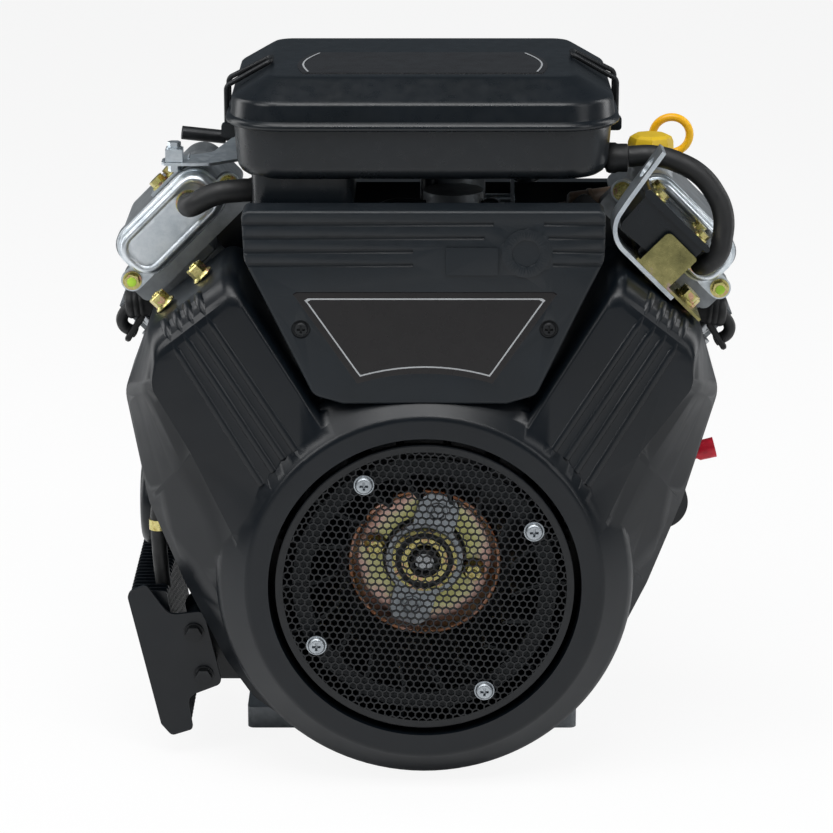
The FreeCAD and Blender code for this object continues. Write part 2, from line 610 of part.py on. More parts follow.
def spark_plug():
    """Spark plug: shell, hexagon and insulator, with its thread in the head."""
    seat = PLUG_SEAT + 0.0
    shell = rod((PLUG_T, PLUG_Y, seat - 19), (PLUG_T, PLUG_Y, seat + 3), PLUG_R)
    hexa = hexagon((PLUG_T, PLUG_Y, seat + 0.1), (0, 0, 1), 20.6, 10)
    neck = rod((PLUG_T, PLUG_Y, seat + 9), (PLUG_T, PLUG_Y, seat + 34), 5.2)
    return fuse([shell, hexa, neck])


def plug_boot():
    """Rubber cap over the plug with the elbow where the lead leaves it."""
    z0 = PLUG_SEAT + 12
    cap = cone((PLUG_T, PLUG_Y, z0), (PLUG_T, PLUG_Y, z0 + 26), 9.5, 11.0)
    top = rod((PLUG_T, PLUG_Y, z0 + 26), (PLUG_T, PLUG_Y, z0 + 31), 11.5)
    elbow = rod((PLUG_T, PLUG_Y, z0 + 22), (PLUG_T - 20, PLUG_Y, z0 + 16), 6.5)
    solid = fuse([cap, top, elbow])
    return solid.cut(rod((PLUG_T, PLUG_Y, z0 - 1), (PLUG_T, PLUG_Y, PLUG_SEAT + 34.3), 5.5))


# ------------------------------------------------------------------ crankshaft, cam and pistons
def make_crankshaft():
    """Forged crankshaft: PTO shaft with keyway, webs with counterweights, one shared pin and the front taper."""
    rear_web = (-77.0, -77.0 + WEB_THICKNESS)
    front_web = (-121.0 - WEB_THICKNESS, -121.0)
    throw = STROKE / 2
    pieces = [rod((0, front_web[0] + 1, 0), (0, CASE_FRONT - 6, 0), JOURNAL_R),
              rod((0, rear_web[1] - 1, 0), (0, -SEAL_WIDTH - 2, 0), JOURNAL_R),
              rod((0, -SEAL_WIDTH - 3, 0), (0, PTO_LENGTH, 0), PTO_R),
              rod((0, front_web[1] - 1, throw), (0, rear_web[0] + 1, throw), PIN_R),
              rod((0, CASE_FRONT - 5, 0), (0, FLYWHEEL_REAR, 0), JOURNAL_R - 1.5),
              rod((0, FLYWHEEL_REAR, 0), (0, HUB_FACE + 0.5, 0), NOSE_R),
              rod((0, HUB_FACE + 1, 0), (0, CUP_FRONT, 0), NUT_BORE_R)]
    for y0, y1 in (rear_web, front_web):
        disc = rod((0, y0, 0), (0, y1, 0), WEB_R)
        sweep = prism([(-WEB_R, -WEB_R * 1.1, 0), (WEB_R, -WEB_R * 1.1, 0), (WEB_R, 4, 0),
                       (PIN_R + 6, throw + PIN_R + 3, 0), (-PIN_R - 6, throw + PIN_R + 3, 0), (-WEB_R, 4, 0)], y0, y1)
        pieces.append(disc.common(sweep))
    solid = fuse(pieces)
    keyway = box(-3.18, 3.18, PTO_LENGTH - 48, PTO_LENGTH + 1, PTO_R - 3.6, PTO_R + 1)
    thread = rod((0, PTO_LENGTH - 38, 0), (0, PTO_LENGTH + 1, 0), 4.6)
    solid = cut(solid, [keyway, thread])
    return keep("crankshaft", solid)


def make_gears():
    """Timing gear on the crankshaft, half the size of the camshaft's."""
    keep("crank_gear", gear(CRANK_TEETH, GEAR_MODULE, GEAR_WIDTH, GEAR_Y, JOURNAL_R + SLIDING))


def cam_gear():
    """Timing gear of the camshaft, with its lightening holes."""
    wheel = gear(CAM_TEETH, GEAR_MODULE, GEAR_WIDTH, GEAR_Y, CAM_JOURNAL_R - 1)
    wheel = turn_y(wheel, 360 / CAM_TEETH / 2)
    holes = [turn_y(rod((32, GEAR_Y - 1, 0), (32, GEAR_Y + GEAR_WIDTH + 1, 0), 9), 60 * k) for k in range(6)]
    wheel = cut(wheel, holes)
    wheel.translate(Vector(0, 0, CAM_CENTRE))
    return wheel


def make_camshaft():
    """Camshaft with four lobes, in the crankcase wall and the cover."""
    shaft = rod((0, CRANK_ROOM_FRONT - 9.5, CAM_CENTRE), (0, -8.5, CAM_CENTRE), CAM_JOURNAL_R)
    pieces = [shaft, cam_gear()]
    for k, (y, lean) in enumerate(((-128, 20), (-112, 130), (-92, 200), (-76, 310))):
        a = math.radians(lean)
        base = rod((0, y, CAM_CENTRE), (0, y + 9, CAM_CENTRE), 11.0)
        nose = rod((4.5 * math.cos(a), y, CAM_CENTRE + 4.5 * math.sin(a)),
                   (4.5 * math.cos(a), y + 9, CAM_CENTRE + 4.5 * math.sin(a)), 8.5)
        pieces += [base, nose]
    keep("camshaft", fuse(pieces))


def piston():
    """Piston with ring grooves, hollow skirt and its pin, on the cylinder's own frame at top dead centre."""
    r = BORE_R - PISTON_CLEARANCE
    body = rod((0, 0, DECK - PISTON_LENGTH), (0, 0, DECK), r)
    tools = [ring((0, 0, DECK - z - 1.5), (0, 0, DECK - z), r - 2.6, r + 1) for z in (6, 11, 17)]
    tools.append(rod((0, 0, DECK - PISTON_LENGTH - 1), (0, 0, DECK - 10), r - 5))
    solid = cut(body, tools)
    wrist = rod((0, -r + 6, DECK - COMPRESSION_HEIGHT), (0, r - 6, DECK - COMPRESSION_HEIGHT), 9.0)
    bosses = [rod((0, y, DECK - COMPRESSION_HEIGHT), (0, y + 10, DECK - COMPRESSION_HEIGHT), 13.0)
              for y in (-r + 4, r - 14)]
    return fuse([solid, wrist] + bosses)


def make_pistons():
    """Both pistons, a full stroke down."""
    low = piston().translated(Vector(0, 0, -STROKE))
    keep("piston_left", on_left(low))
    keep("piston_right", on_right(low))


# ------------------------------------------------------------------ flywheel, fan, hub and screen
def make_flywheel():
    """Cast flywheel with its magnets' rim, starter ring gear and the hub the fan and screen stand on."""
    body = turned([(NOSE_R + 0.1, FLYWHEEL_REAR), (FLYWHEEL_R - 9, FLYWHEEL_REAR), (FLYWHEEL_R - 9, FLYWHEEL_REAR - 11),
                   (FLYWHEEL_R, FLYWHEEL_REAR - 11), (FLYWHEEL_R, FLYWHEEL_FRONT + 3), (FLYWHEEL_R - 3, FLYWHEEL_FRONT),
                   (NOSE_R + 0.1, FLYWHEEL_FRONT)])
    keep("flywheel", body)
    teeth = gear(RING_GEAR_TEETH, 2 * RING_GEAR_R / (RING_GEAR_TEETH + 1.8), RING_GEAR_WIDTH,
                 FLYWHEEL_REAR - RING_GEAR_WIDTH, FLYWHEEL_R - 9)
    keep("ring_gear", teeth)
    cup = turned([(NOSE_R + 0.1, FLYWHEEL_FRONT), (55, FLYWHEEL_FRONT), (57.5, CUP_FRONT), (54.5, CUP_FRONT),
                  (52, FLYWHEEL_FRONT - CUP_FLOOR), (NOSE_R + 0.1, FLYWHEEL_FRONT - CUP_FLOOR)])
    keep("starter_cup", cup)


def fan_blade(k):
    """One curved blade of the cooling fan, a slice of a tall round wall."""
    centre_r, centre_side = (FAN_HUB_R + FAN_R) / 2 + 14, -BLADE_CURVE
    rear, front = FLYWHEEL_FRONT, FAN_FRONT - 0.5
    wall = ring((centre_r, rear, centre_side), (centre_r, front, centre_side), BLADE_CURVE, BLADE_CURVE + BLADE_THICKNESS)
    slice_box = box(FAN_HUB_R - 12, FAN_R + 4, front, rear, -16, 12)
    blade = wall.common(slice_box).common(ring((0, rear, 0), (0, front, 0), FAN_HUB_R + 1, FAN_R))
    return turn_y(blade, 360 / FAN_BLADES * k)


def make_fan():
    """Moulded cooling fan: a floor ring on the flywheel and swept blades, with a stay ring at the front."""
    floor = ring((0, FLYWHEEL_FRONT, 0), (0, FLYWHEEL_FRONT - 3.5, 0), FAN_HUB_R, FLYWHEEL_R)
    stay = ring((0, FAN_FRONT, 0), (0, FAN_FRONT + 4, 0), SCREEN_SCREW_R - 6, SCREEN_SCREW_R + 6)
    posts = []
    for k in range(4):
        x, z = screen_screw(k)
        posts.append(rod((x, FLYWHEEL_FRONT, z), (x, SCREEN_FACE + 4.6, z), 6.0))
    solid = fuse([floor, stay] + posts + [fan_blade(k) for k in range(FAN_BLADES)])
    holes = [rod((screen_screw(k)[0], SCREEN_FACE + 4, screen_screw(k)[1]),
                 (screen_screw(k)[0], SCREEN_FACE + 20, screen_screw(k)[1]), 2.6) for k in range(4)]
    keep("cooling_fan", cut(solid, holes))


def screen_screw(k):
    """Place of one screen screw."""
    a = math.radians(SCREEN_SCREW_ANGLE + 90 * k)
    return SCREEN_SCREW_R * math.cos(a), SCREEN_SCREW_R * math.sin(a)


def make_screen():
    """Rotating grass screen: a punched disc with a turned-back rim, on the fan's posts."""
    rim = turned([(SCREEN_R - 7, SCREEN_FACE + 3), (SCREEN_R - 2, SCREEN_FACE + 3), (SCREEN_R, SCREEN_FACE + 5),
                  (SCREEN_R, SCREEN_FACE + 9), (SCREEN_R - SCREEN_THICKNESS, SCREEN_FACE + 9),
                  (SCREEN_R - SCREEN_THICKNESS, SCREEN_FACE + 5 + SCREEN_THICKNESS),
                  (SCREEN_R - 7, SCREEN_FACE + 3 + SCREEN_THICKNESS)])
    disc = rod((0, SCREEN_FACE + 3, 0), (0, SCREEN_FACE + 3 + SCREEN_THICKNESS, 0), SCREEN_R - 6)
    holes = []
    pitch = SCREEN_HOLE_PITCH
    row = pitch * math.sqrt(3) / 2
    reach = int(SCREEN_FLAT_R / row) + 1
    for j in range(-reach, reach + 1):
        for i in range(-reach - 1, reach + 2):
            x = (i + 0.5 * (j % 2)) * pitch
            z = j * row
            near = min(math.hypot(x - screen_screw(k)[0], z - screen_screw(k)[1]) for k in range(4))
            if math.hypot(x, z) + pitch / 2 < SCREEN_FLAT_R and near > 7.5 + pitch / 2:
                points = [Vector(x + (pitch - SCREEN_WEB) / math.sqrt(3) * math.sin(math.radians(60 * n)),
                                 SCREEN_FACE + 2,
                                 z + (pitch - SCREEN_WEB) / math.sqrt(3) * math.cos(math.radians(60 * n)))
                          for n in range(7)]
                holes.append(Part.Face(Part.makePolygon(points)).extrude(Vector(0, SCREEN_THICKNESS + 2, 0)))
    disc = cut(disc, holes)
    solid = fuse([rim, disc])
    screws = [rod((screen_screw(k)[0], SCREEN_FACE, screen_screw(k)[1]),
                  (screen_screw(k)[0], SCREEN_FACE + 8, screen_screw(k)[1]), 2.9) for k in range(4)]
    keep("rotating_screen", cut(solid, screws))


def make_screen_screws():
    """Pan-head screws with washers that hold the screen."""
    screws = []
    for k in range(4):
        x, z = screen_screw(k)
        head_disc = cone((x, SCREEN_FACE + 2.4, z), (x, SCREEN_FACE - 0.6, z), 6.2, 4.6)
        slots = [box(x - 3.4, x + 3.4, SCREEN_FACE - 2, SCREEN_FACE + 0.8, z - 0.8, z + 0.8),
                 box(x - 0.8, x + 0.8, SCREEN_FACE - 2, SCREEN_FACE + 0.8, z - 3.4, z + 3.4)]
        washer = rod((x, SCREEN_FACE + 2.2, z), (x, SCREEN_FACE + 3.0, z), 7.2)
        shank = rod((x, SCREEN_FACE + 2, z), (x, SCREEN_FACE + 18, z), 2.5)
        screws.append(fuse([cut(head_disc, slots), washer, shank]))
    keep("screen_screws", Part.makeCompound(screws))


def make_hub():
    """Hub plate with two ears in the starter cup, and the nut on the crankshaft's nose."""
    plate = [(-44, -15, 14), (44, -15, 14), (44, 15, 14), (-44, 15, 14)]
    oblong = prism(plate, HUB_FACE, HUB_FACE + HUB_SHEET)
    oblong = oblong.fuse(rod((0, HUB_FACE, 0), (0, HUB_FACE + HUB_SHEET, 0), 28.0))
    ears = [ring((x, HUB_FACE + 1, 0), (x, HUB_FACE - 2.5, 0), 6.0, 10.0) for x in (-HUB_EAR, HUB_EAR)]
    solid = fuse([oblong] + ears)
    tools = [rod((0, HUB_FACE - 9, 0), (0, FLYWHEEL_FRONT + 9, 0), NOSE_R + 0.05)]
    tools += [rod((x, HUB_FACE - 9, 0), (x, HUB_FACE + 9, 0), 6.0) for x in (-HUB_EAR, HUB_EAR)]
    return keep("hub_plate", turn_y(cut(solid, tools), HUB_TURN))


def make_nut():
    """Flywheel nut with its washer on the nose."""
    y = HUB_FACE
    washer = ring((0, y, 0), (0, y - 3, 0), NUT_BORE_R, 19.0)
    nut = hexagon((0, y - 3, 0), (0, -1, 0), 26.0, 9).cut(rod((0, y + 1, 0), (0, y - 20, 0), NUT_BORE_R))
    solid = washer.fuse(nut)
    return keep("flywheel_nut", solid)


# ------------------------------------------------------------------ blower housing, backplate and front panel
def wing_outline(share, right):
    """Outline of a wing at a share of the way from its foot to its face."""
    roll = 1 - math.sqrt(1 - share * share)
    slope = min(1.0, share + max(0.0, share - 0.8))
    narrow = RIGHT_NARROW if right else [0] * len(LEFT_WING)
    outline = []
    for i, (foot, face) in enumerate(zip(LEFT_WING, LEFT_FACE)):
        f = roll if i in ROUNDED else slope
        x, z, r = (a + (b - a) * f for a, b in zip(foot, face))
        outline.append((x + narrow[i], z, r))
    return outline


def wing(grow, right):
    """Solid of one wing of the housing, its outside moved out by grow."""
    sections = [corner_wire(grown(wing_outline(0.0, right), grow), HOUSING_REAR + grow)]
    for share in WING_STATIONS:
        y = WING_FOOT + (WING_FACE - WING_FOOT) * share - grow
        sections.append(corner_wire(grown(wing_outline(share, right), grow), y))
    solid = fuse([loft(sections[:2]), loft(sections[1:])])
    return mirror_x(solid) if right else solid


def ring_body(grow):
    """Solid of the round body of the housing, its outside moved out by grow."""
    front, side = FRONT - grow, HOUSING_R + grow
    face = RING_FACE_R + grow
    rim, edge, a = Vector(face - 4, front, 0), Vector(face - 1, front + 0.6, 0), Vector(face + 1.5, front + 2.6, 0)
    c, m, b = Vector(side - 5, front + 17, 0), Vector(side - 1.3, front + 22.5, 0), Vector(side, front + 28, 0)
    edges = [Part.LineSegment(Vector(0, front, 0), rim).toShape(), Part.Arc(rim, edge, a).toShape(),
             Part.LineSegment(a, c).toShape(), Part.Arc(c, m, b).toShape(),
             Part.LineSegment(b, Vector(side, HOUSING_REAR + grow, 0)).toShape(),
             Part.LineSegment(Vector(side, HOUSING_REAR + grow, 0), Vector(0, HOUSING_REAR + grow, 0)).toShape(),
             Part.LineSegment(Vector(0, HOUSING_REAR + grow, 0), Vector(0, front, 0)).toShape()]
    return Part.Face(Part.Wire(edges)).revolve(Vector(0, 0, 0), Vector(0, 1, 0), 360)


def housing_solid(grow):
    """Whole outside of the housing as one solid."""
    return fuse([ring_body(grow), wing(grow, False), wing(grow, True)])


def housing_web():
    """Upright web between the wings that carries the front panel."""
    points = [(-112, 205, 6), (-66, 120, 0), (66, 120, 0), (112, 205, 6)]
    web = prism(points, WEB_Y, WEB_Y + 3)
    bosses = [rod((x, PANEL_FACE + PANEL_WALL + GAP, PANEL_SCREW_Z), (x, WEB_Y + 1, PANEL_SCREW_Z), 7.0)
              for x in (-PANEL_SCREW_X, PANEL_SCREW_X)]
    return fuse([web] + bosses)


def wing_rib(low, top):
    """A rib on the left wing and its twin, from the ring up over the rounded upper edge."""
    a, b = Vector(low[0], 0, low[1]), Vector(top[0], 0, top[1])
    along = (b - a).normalize()
    level = WING_FACE + WING_RIB_R - WING_RIB_PROUD
    points = [a + Vector(0, level, 0)] + [b - along * s + Vector(0, level + d, 0) for s, d in WING_RIB_ROLL]
    rib = tube([(p.x, p.y, p.z) for p in points], WING_RIB_R)
    return rib, mirror_x(rib)


def make_housing():
    """Moulded blower housing: a shell with the round intake, both wings and their ribs, open to the backplate."""
    outside = housing_solid(0.0)
    inside = housing_solid(-SHEET)
    inside = inside.fuse(inside.translated(Vector(0, SHEET * 2, 0)))
    shell = outside.cut(inside)
    shell = shell.cut(rod((0, FRONT - 1, 0), (0, FRONT + 30, 0), APERTURE_R))
    lip = turned([(APERTURE_R, FRONT), (APERTURE_R + SHEET, FRONT), (APERTURE_R + SHEET, FRONT + 14),
                  (APERTURE_R, FRONT + 14)])
    ribs = [rib.cut(inside) for low, top in zip(WING_RIB_LOW, WING_RIB_TOP) for rib in wing_rib(low, top)]
    web = housing_web()
    solid = fuse([shell, lip, web.cut(inside)] + ribs)
    tools = [rod((x, PANEL_FACE, PANEL_SCREW_Z), (x, WEB_Y + 5, PANEL_SCREW_Z), 2.6)
             for x in (-PANEL_SCREW_X, PANEL_SCREW_X)]
    return keep("blower_housing", cut(solid, tools))


def make_backplate():
    """Pressed backplate between the crankcase and the housing, with its ears and the coil posts."""
    sheets = []
    for right in (False, True):
        narrow = RIGHT_NARROW if right else [0] * len(LEFT_WING)
        points = [(x + n, z, r) for (x, z, r), n in zip(LEFT_WING, narrow)]
        sheet = prism(points, HOUSING_REAR + 0.0, BACKPLATE_REAR)
        sheets.append(mirror_x(sheet) if right else sheet)
    disc = rod((0, HOUSING_REAR, 0), (0, BACKPLATE_REAR, 0), HOUSING_R)
    ear = prism([(-174, -38, 8), (-166, -104, 8), (-120, -104, 8), (-120, -38, 8)], HOUSING_REAR, BACKPLATE_REAR)
    stands = [rod((x, HOUSING_REAR, z), (x, COOLER_FRONT + COOLER_PLATE + GAP, z), 7.5) for x, z in COOLER_BOLTS]
    solid = fuse(sheets + [disc, ear] + stands)
    tools = [rod((0, HOUSING_REAR - 1, 0), (0, BACKPLATE_REAR + 1, 0), 42.0)]
    for sign in (-1, 1):
        tools.append(rod((sign * 118, HOUSING_REAR - 1, 118), (sign * 118, BACKPLATE_REAR + 1, 118), 44))
    tools += [rod((x, COOLER_FRONT, z), (x, COOLER_FRONT + 30, z), 3.2) for x, z in COOLER_BOLTS]
    return keep("backplate", cut(solid, tools))


def panel_outline():
    """Edges of the front panel's outline, its lower edge an arc about the crankshaft."""
    return [(-123.5, PANEL_TOP, 5), (-122, 232, 16), (-110, 207, 30), (-76, 137, 10), (-56, 131, 0),
            (56, 131, 0), (76, 137, 10), (109, 207, 30), (121, 232, 16), (121.5, PANEL_TOP, 5)]


def make_panel():
    """Front panel over the valley of the V, with its grooves, bosses and the recess for the plate."""
    points = panel_outline()
    outside = prism(points, PANEL_FACE, PANEL_REAR)
    front = [f for f in outside.Faces if abs(f.CenterOfMass.y - PANEL_FACE) < 0.01][0]
    outside = outside.makeFillet(2.5, front.Edges)
    inside = prism(grown(points, -PANEL_WALL), PANEL_FACE + PANEL_WALL, PANEL_REAR + 1)
    shell = outside.cut(inside)
    tools = [housing_solid(0.6)]
    recess = [(-89, 209.5, 3), (-46, HOUSING_R + 7, 4), (46, HOUSING_R + 7, 4), (89, 209.5, 3)]
    tools.append(prism(recess, PANEL_FACE - 1, PANEL_FACE + 1.2))
    for k in range(4):
        z = 257.0 - 9.4 * k
        reach = -8 if k > 1 else 46 - 6 * k
        tools.append(box(-130, reach, PANEL_FACE - 1, PANEL_FACE + 1.4, z - 1.6, z + 1.6))
        tools.append(box(80 + 3 * min(k, 2), 130, PANEL_FACE - 1, PANEL_FACE + 1.4, z - 1.6, z + 1.6))
    for x in (-PANEL_SCREW_X, PANEL_SCREW_X):
        tools.append(rod((x, PANEL_FACE - 1, PANEL_SCREW_Z), (x, PANEL_FACE + 1.6, PANEL_SCREW_Z), 6.5))
        tools.append(rod((x, PANEL_FACE - 1, PANEL_SCREW_Z), (x, PANEL_FACE + 9, PANEL_SCREW_Z), 3.2))
    boss = rod((PANEL_BOSS_X, PANEL_FACE - 1.2, PANEL_BOSS_Z), (PANEL_BOSS_X, PANEL_FACE + 1, PANEL_BOSS_Z), 16.5)
    boss = boss.cut(rod((PANEL_BOSS_X, PANEL_FACE - 2, PANEL_BOSS_Z), (PANEL_BOSS_X, PANEL_FACE - 0.4, PANEL_BOSS_Z), 9.5))
    block = box(14, 49, PANEL_FACE - 1.2, PANEL_FACE + 1, 222, 241)
    solid = fuse([cut(shell, tools), boss, block])
    keep("front_panel", solid)
    plate = prism(grown(recess, -0.4), PANEL_FACE + 0.2, PANEL_FACE + 1.2)
    keep("panel_plate", plate)
    screws = []
    for x in (-PANEL_SCREW_X, PANEL_SCREW_X):
        head_disc = cone((x, PANEL_FACE + 1.6, PANEL_SCREW_Z), (x, PANEL_FACE - 0.6, PANEL_SCREW_Z), 5.2, 4.0)
        head_disc = cut(head_disc, [box(x - 2.8, x + 2.8, PANEL_FACE - 2, PANEL_FACE + 0.4, PANEL_SCREW_Z - 0.6,
                                        PANEL_SCREW_Z + 0.6)])
        screws.append(head_disc.fuse(rod((x, PANEL_FACE + 1, PANEL_SCREW_Z), (x, WEB_Y, PANEL_SCREW_Z), 2.5)))
    keep("panel_screws", Part.makeCompound(screws))


# ------------------------------------------------------------------ air cleaner
def cleaner_outline(half, front, rear, corner):
    """Plan of the air cleaner at one height."""
    x0, x1 = AC_CENTRE_X - half, AC_CENTRE_X + half
    return [(x0, front, corner), (x1, front, corner), (x1, rear, corner), (x0, rear, corner)]


def cleaner_section(z, inset, shrink=0.0):
    """Section wire of the air cleaner at height z, inset on every side."""
    d = inset + shrink
    outline = cleaner_outline(AC_HALF - d, AC_FRONT + d, AC_FRONT + AC_DEPTH - d, max(AC_CORNER - d, 4.0))
    return corner_wire(outline, z, plan=True)


def make_air_cleaner():
    """Air cleaner: a tub under a lid with sloped shoulders, and the pleated element between them."""
    def tub(shrink):
        low, mid = cleaner_section(AC_BOTTOM + shrink, 15.0, shrink), cleaner_section(AC_BOTTOM + 12, 6.0, shrink)
        top = cleaner_section(AC_JOINT - 0.3 + (1 if shrink else 0), 3.0, shrink)
        return fuse([loft([low, mid]), loft([mid, top])])

    def lid(shrink):
        low = cleaner_section(AC_JOINT - (1 if shrink else 0), 0.0, shrink)
        mid = cleaner_section(AC_LEDGE, 2.0, shrink)
        step = cleaner_section(AC_LEDGE, 4.0, shrink)
        top = cleaner_section(AC_TOP - shrink, 26.0, shrink)
        return fuse([loft([low, mid]), loft([step, top])])

    base = tub(0).cut(tub(AC_WALL))
    feet = [rod((x, y, AC_BOTTOM + 1), (x, y, AC_BOTTOM - 8), 9.0) for x, y in AC_STUDS]
    intake = rod((CARB_X, CARB_Y, AC_BOTTOM - 2), (CARB_X, CARB_Y, AC_BOTTOM + 8), 24.0)
    base = fuse([base, intake] + feet).cut(rod((CARB_X, CARB_Y, AC_BOTTOM - 9), (CARB_X, CARB_Y, AC_BOTTOM + 9), 17.0))
    keep("air_cleaner_base", base)
    cover = lid(0).cut(lid(AC_WALL))
    x0, x1, y0 = AC_CENTRE_X - AC_HALF + 37.5, AC_CENTRE_X + AC_HALF - 38.5, AC_FRONT + 42
    recess = slab([(x0, y0, 24), (x1, y0, 24), (x1 - 12, y0 + 68, 20), (x0 + 12, y0 + 68, 20)], AC_TOP - 1.0, AC_TOP + 5)
    slots = [slab([(x - 16, y - 9, 7), (x + 16, y - 9, 7), (x + 16, y + 9, 7), (x - 16, y + 9, 7)],
                  AC_TOP - 1.8, AC_TOP + 5) for x, y in LATCH_SLOTS]
    keep("air_cleaner_cover", cut(cover, [recess] + slots))
    element = slab(cleaner_outline(AC_HALF - 22, AC_FRONT + 22, AC_FRONT + AC_DEPTH - 22, 24), AC_BOTTOM + AC_WALL + GAP, AC_JOINT + 8)
    inner = slab(cleaner_outline(AC_HALF - 50, AC_FRONT + 50, AC_FRONT + AC_DEPTH - 50, 10), AC_BOTTOM + 1, AC_JOINT + 9)
    pleats = []
    for k in range(16):
        x = AC_CENTRE_X - AC_HALF + 40 + (2 * AC_HALF - 80) / 15 * k
        for y in (AC_FRONT + 19, AC_FRONT + AC_DEPTH - 24):
            pleats.append(box(x - 2, x + 2, y, y + 5, AC_BOTTOM + 14, AC_JOINT + 4))
    keep("filter_element", cut(element, [inner] + pleats))


def make_latches():
    """Wire bails that snap over the lid; each swings on its ends in the tub's side."""
    for name, sign, slot in (("left", -1, LATCH_SLOTS[0]), ("right", 1, LATCH_SLOTS[1])):
        side = AC_CENTRE_X + sign * (AC_HALF + LATCH_R + 1.2)
        y = slot[1]
        shoulder = (side, AC_LEDGE + 1.5)
        tip = (slot[0] + sign * 2.0, AC_TOP + LATCH_R + 1.0)
        pts = []
        for end in (-1, 1):
            run = [(side, y + end * LATCH_HALF, LATCH_PIVOT_Z), (shoulder[0], y + end * LATCH_HALF, shoulder[1]),
                   (tip[0], y + end * (LATCH_HALF - 6), tip[1])]
            pts += run if end < 0 else run[::-1]
        wire = tube(pts, LATCH_R, 5.0)
        pivots = [rod((side, y + end * LATCH_HALF, LATCH_PIVOT_Z), (side, y + end * (LATCH_HALF + 7), LATCH_PIVOT_Z),
                      LATCH_R) for end in (-1, 1)]
        knees = [Part.makeSphere(LATCH_R, Vector(side, y + end * LATCH_HALF, LATCH_PIVOT_Z)) for end in (-1, 1)]
        keep("latch_" + name, fuse([wire] + pivots + knees))
        lugs = []
        for end in (-1, 1):
            y0 = y + end * (LATCH_HALF + 6) - 2.5
            inner = AC_CENTRE_X + sign * (AC_HALF - 5)
            outer = side + sign * 4.0
            lug = box(min(inner, outer), max(inner, outer), y0, y0 + 5, LATCH_PIVOT_Z - 5, LATCH_PIVOT_Z + 5)
            lugs.append(lug.cut(rod((side, y0 - 1, LATCH_PIVOT_Z), (side, y0 + 6, LATCH_PIVOT_Z), LATCH_R + 0.08)))
        MADE["air_cleaner_base"] = fuse([MADE["air_cleaner_base"]] + lugs)


# ------------------------------------------------------------------ fuel system and controls
def make_carburetor():
    """Carburettor under the air cleaner with its bowl, and the manifold that joins both heads."""
    body = rod((CARB_X, CARB_Y, AC_BOTTOM - 2 - GAP), (CARB_X, CARB_Y, 226), 23.0)
    flange = slab([(CARB_X - 30, CARB_Y - 22, 8), (CARB_X + 30, CARB_Y - 22, 8), (CARB_X + 30, CARB_Y + 22, 8),
                   (CARB_X - 30, CARB_Y + 22, 8)], 226, 233)
    bowl = rod((CARB_X, CARB_Y - 42, 232), (CARB_X, CARB_Y - 42, 262), 21.0)
    link = box(CARB_X - 14, CARB_X + 14, CARB_Y - 40, CARB_Y - 10, 240, 258)
    solenoid = rod((CARB_X, CARB_Y - 42, 205), (CARB_X, CARB_Y - 42, 233), 9.0)
    solid = fuse([body, flange, bowl, link, solenoid])
    tools = [rod((CARB_X, CARB_Y, AC_BOTTOM + 1), (CARB_X, CARB_Y, 225), 15.0),
             rod((CARB_X - 40, CARB_Y, 246), (CARB_X + 40, CARB_Y, 246), THROTTLE_R + 0.05)]
    keep("carburetor", cut(solid, tools))
    shaft = rod((CARB_X - 14.5, CARB_Y, 246), (CARB_X + 44, CARB_Y, 246), THROTTLE_R)
    arm = prism([(0, 0, 0), (1, 0, 0), (1, 1, 0), (0, 1, 0)], 0, 1)
    arm = box(CARB_X + 41, CARB_X + 43.5, CARB_Y - 7, CARB_Y + 7, 240, 274)
    arm = arm.makeFillet(6.0, [e for e in arm.Edges if abs(e.tangentAt(0).x) > 0.9])
    plate = rod((CARB_X, CARB_Y - 1, 246), (CARB_X, CARB_Y + 1, 246), 14.0)
    keep("throttle_lever", fuse([shaft, arm, plate]))
    along = INLET_ALONG
    reach = FIN_HALF_T + 6 + GAP
    left_end = ((reach - along) / math.sqrt(2), CYLINDER_Y, (reach + along) / math.sqrt(2))
    right_end = ((along - reach) / math.sqrt(2), CYLINDER_Y - CYLINDER_OFFSET, (reach + along) / math.sqrt(2))
    step = 26.0
    left_knee = (left_end[0] + step, left_end[1] - 4, left_end[2] + step * 0.7)
    right_knee = (right_end[0] - step, right_end[1] - 2, right_end[2] + step * 0.7)
    top = (CARB_X, CARB_Y, 226 - GAP)
    pieces = [rod(left_end, left_knee, 18.0), rod(right_end, right_knee, 18.0),
              rod(left_knee, (CARB_X, CARB_Y, 206), 18.0), rod(right_knee, (CARB_X, CARB_Y, 206), 18.0),
              rod((CARB_X, CARB_Y, 200), top, 19.0),
              Part.makeSphere(18.0, Vector(*left_knee)), Part.makeSphere(18.0, Vector(*right_knee)),
              slab([(CARB_X - 30, CARB_Y - 22, 8), (CARB_X + 30, CARB_Y - 22, 8), (CARB_X + 30, CARB_Y + 22, 8),
                    (CARB_X - 30, CARB_Y + 22, 8)], 219 - GAP, 226 - GAP)]
    solid = fuse(pieces)
    tools = [MADE["cylinder_head_left"], MADE["cylinder_head_right"]]
    solid = solid.cut(Part.makeCompound(tools))
    solid = max(solid.Solids, key=lambda piece: piece.Volume)
    keep("intake_manifold", solid)


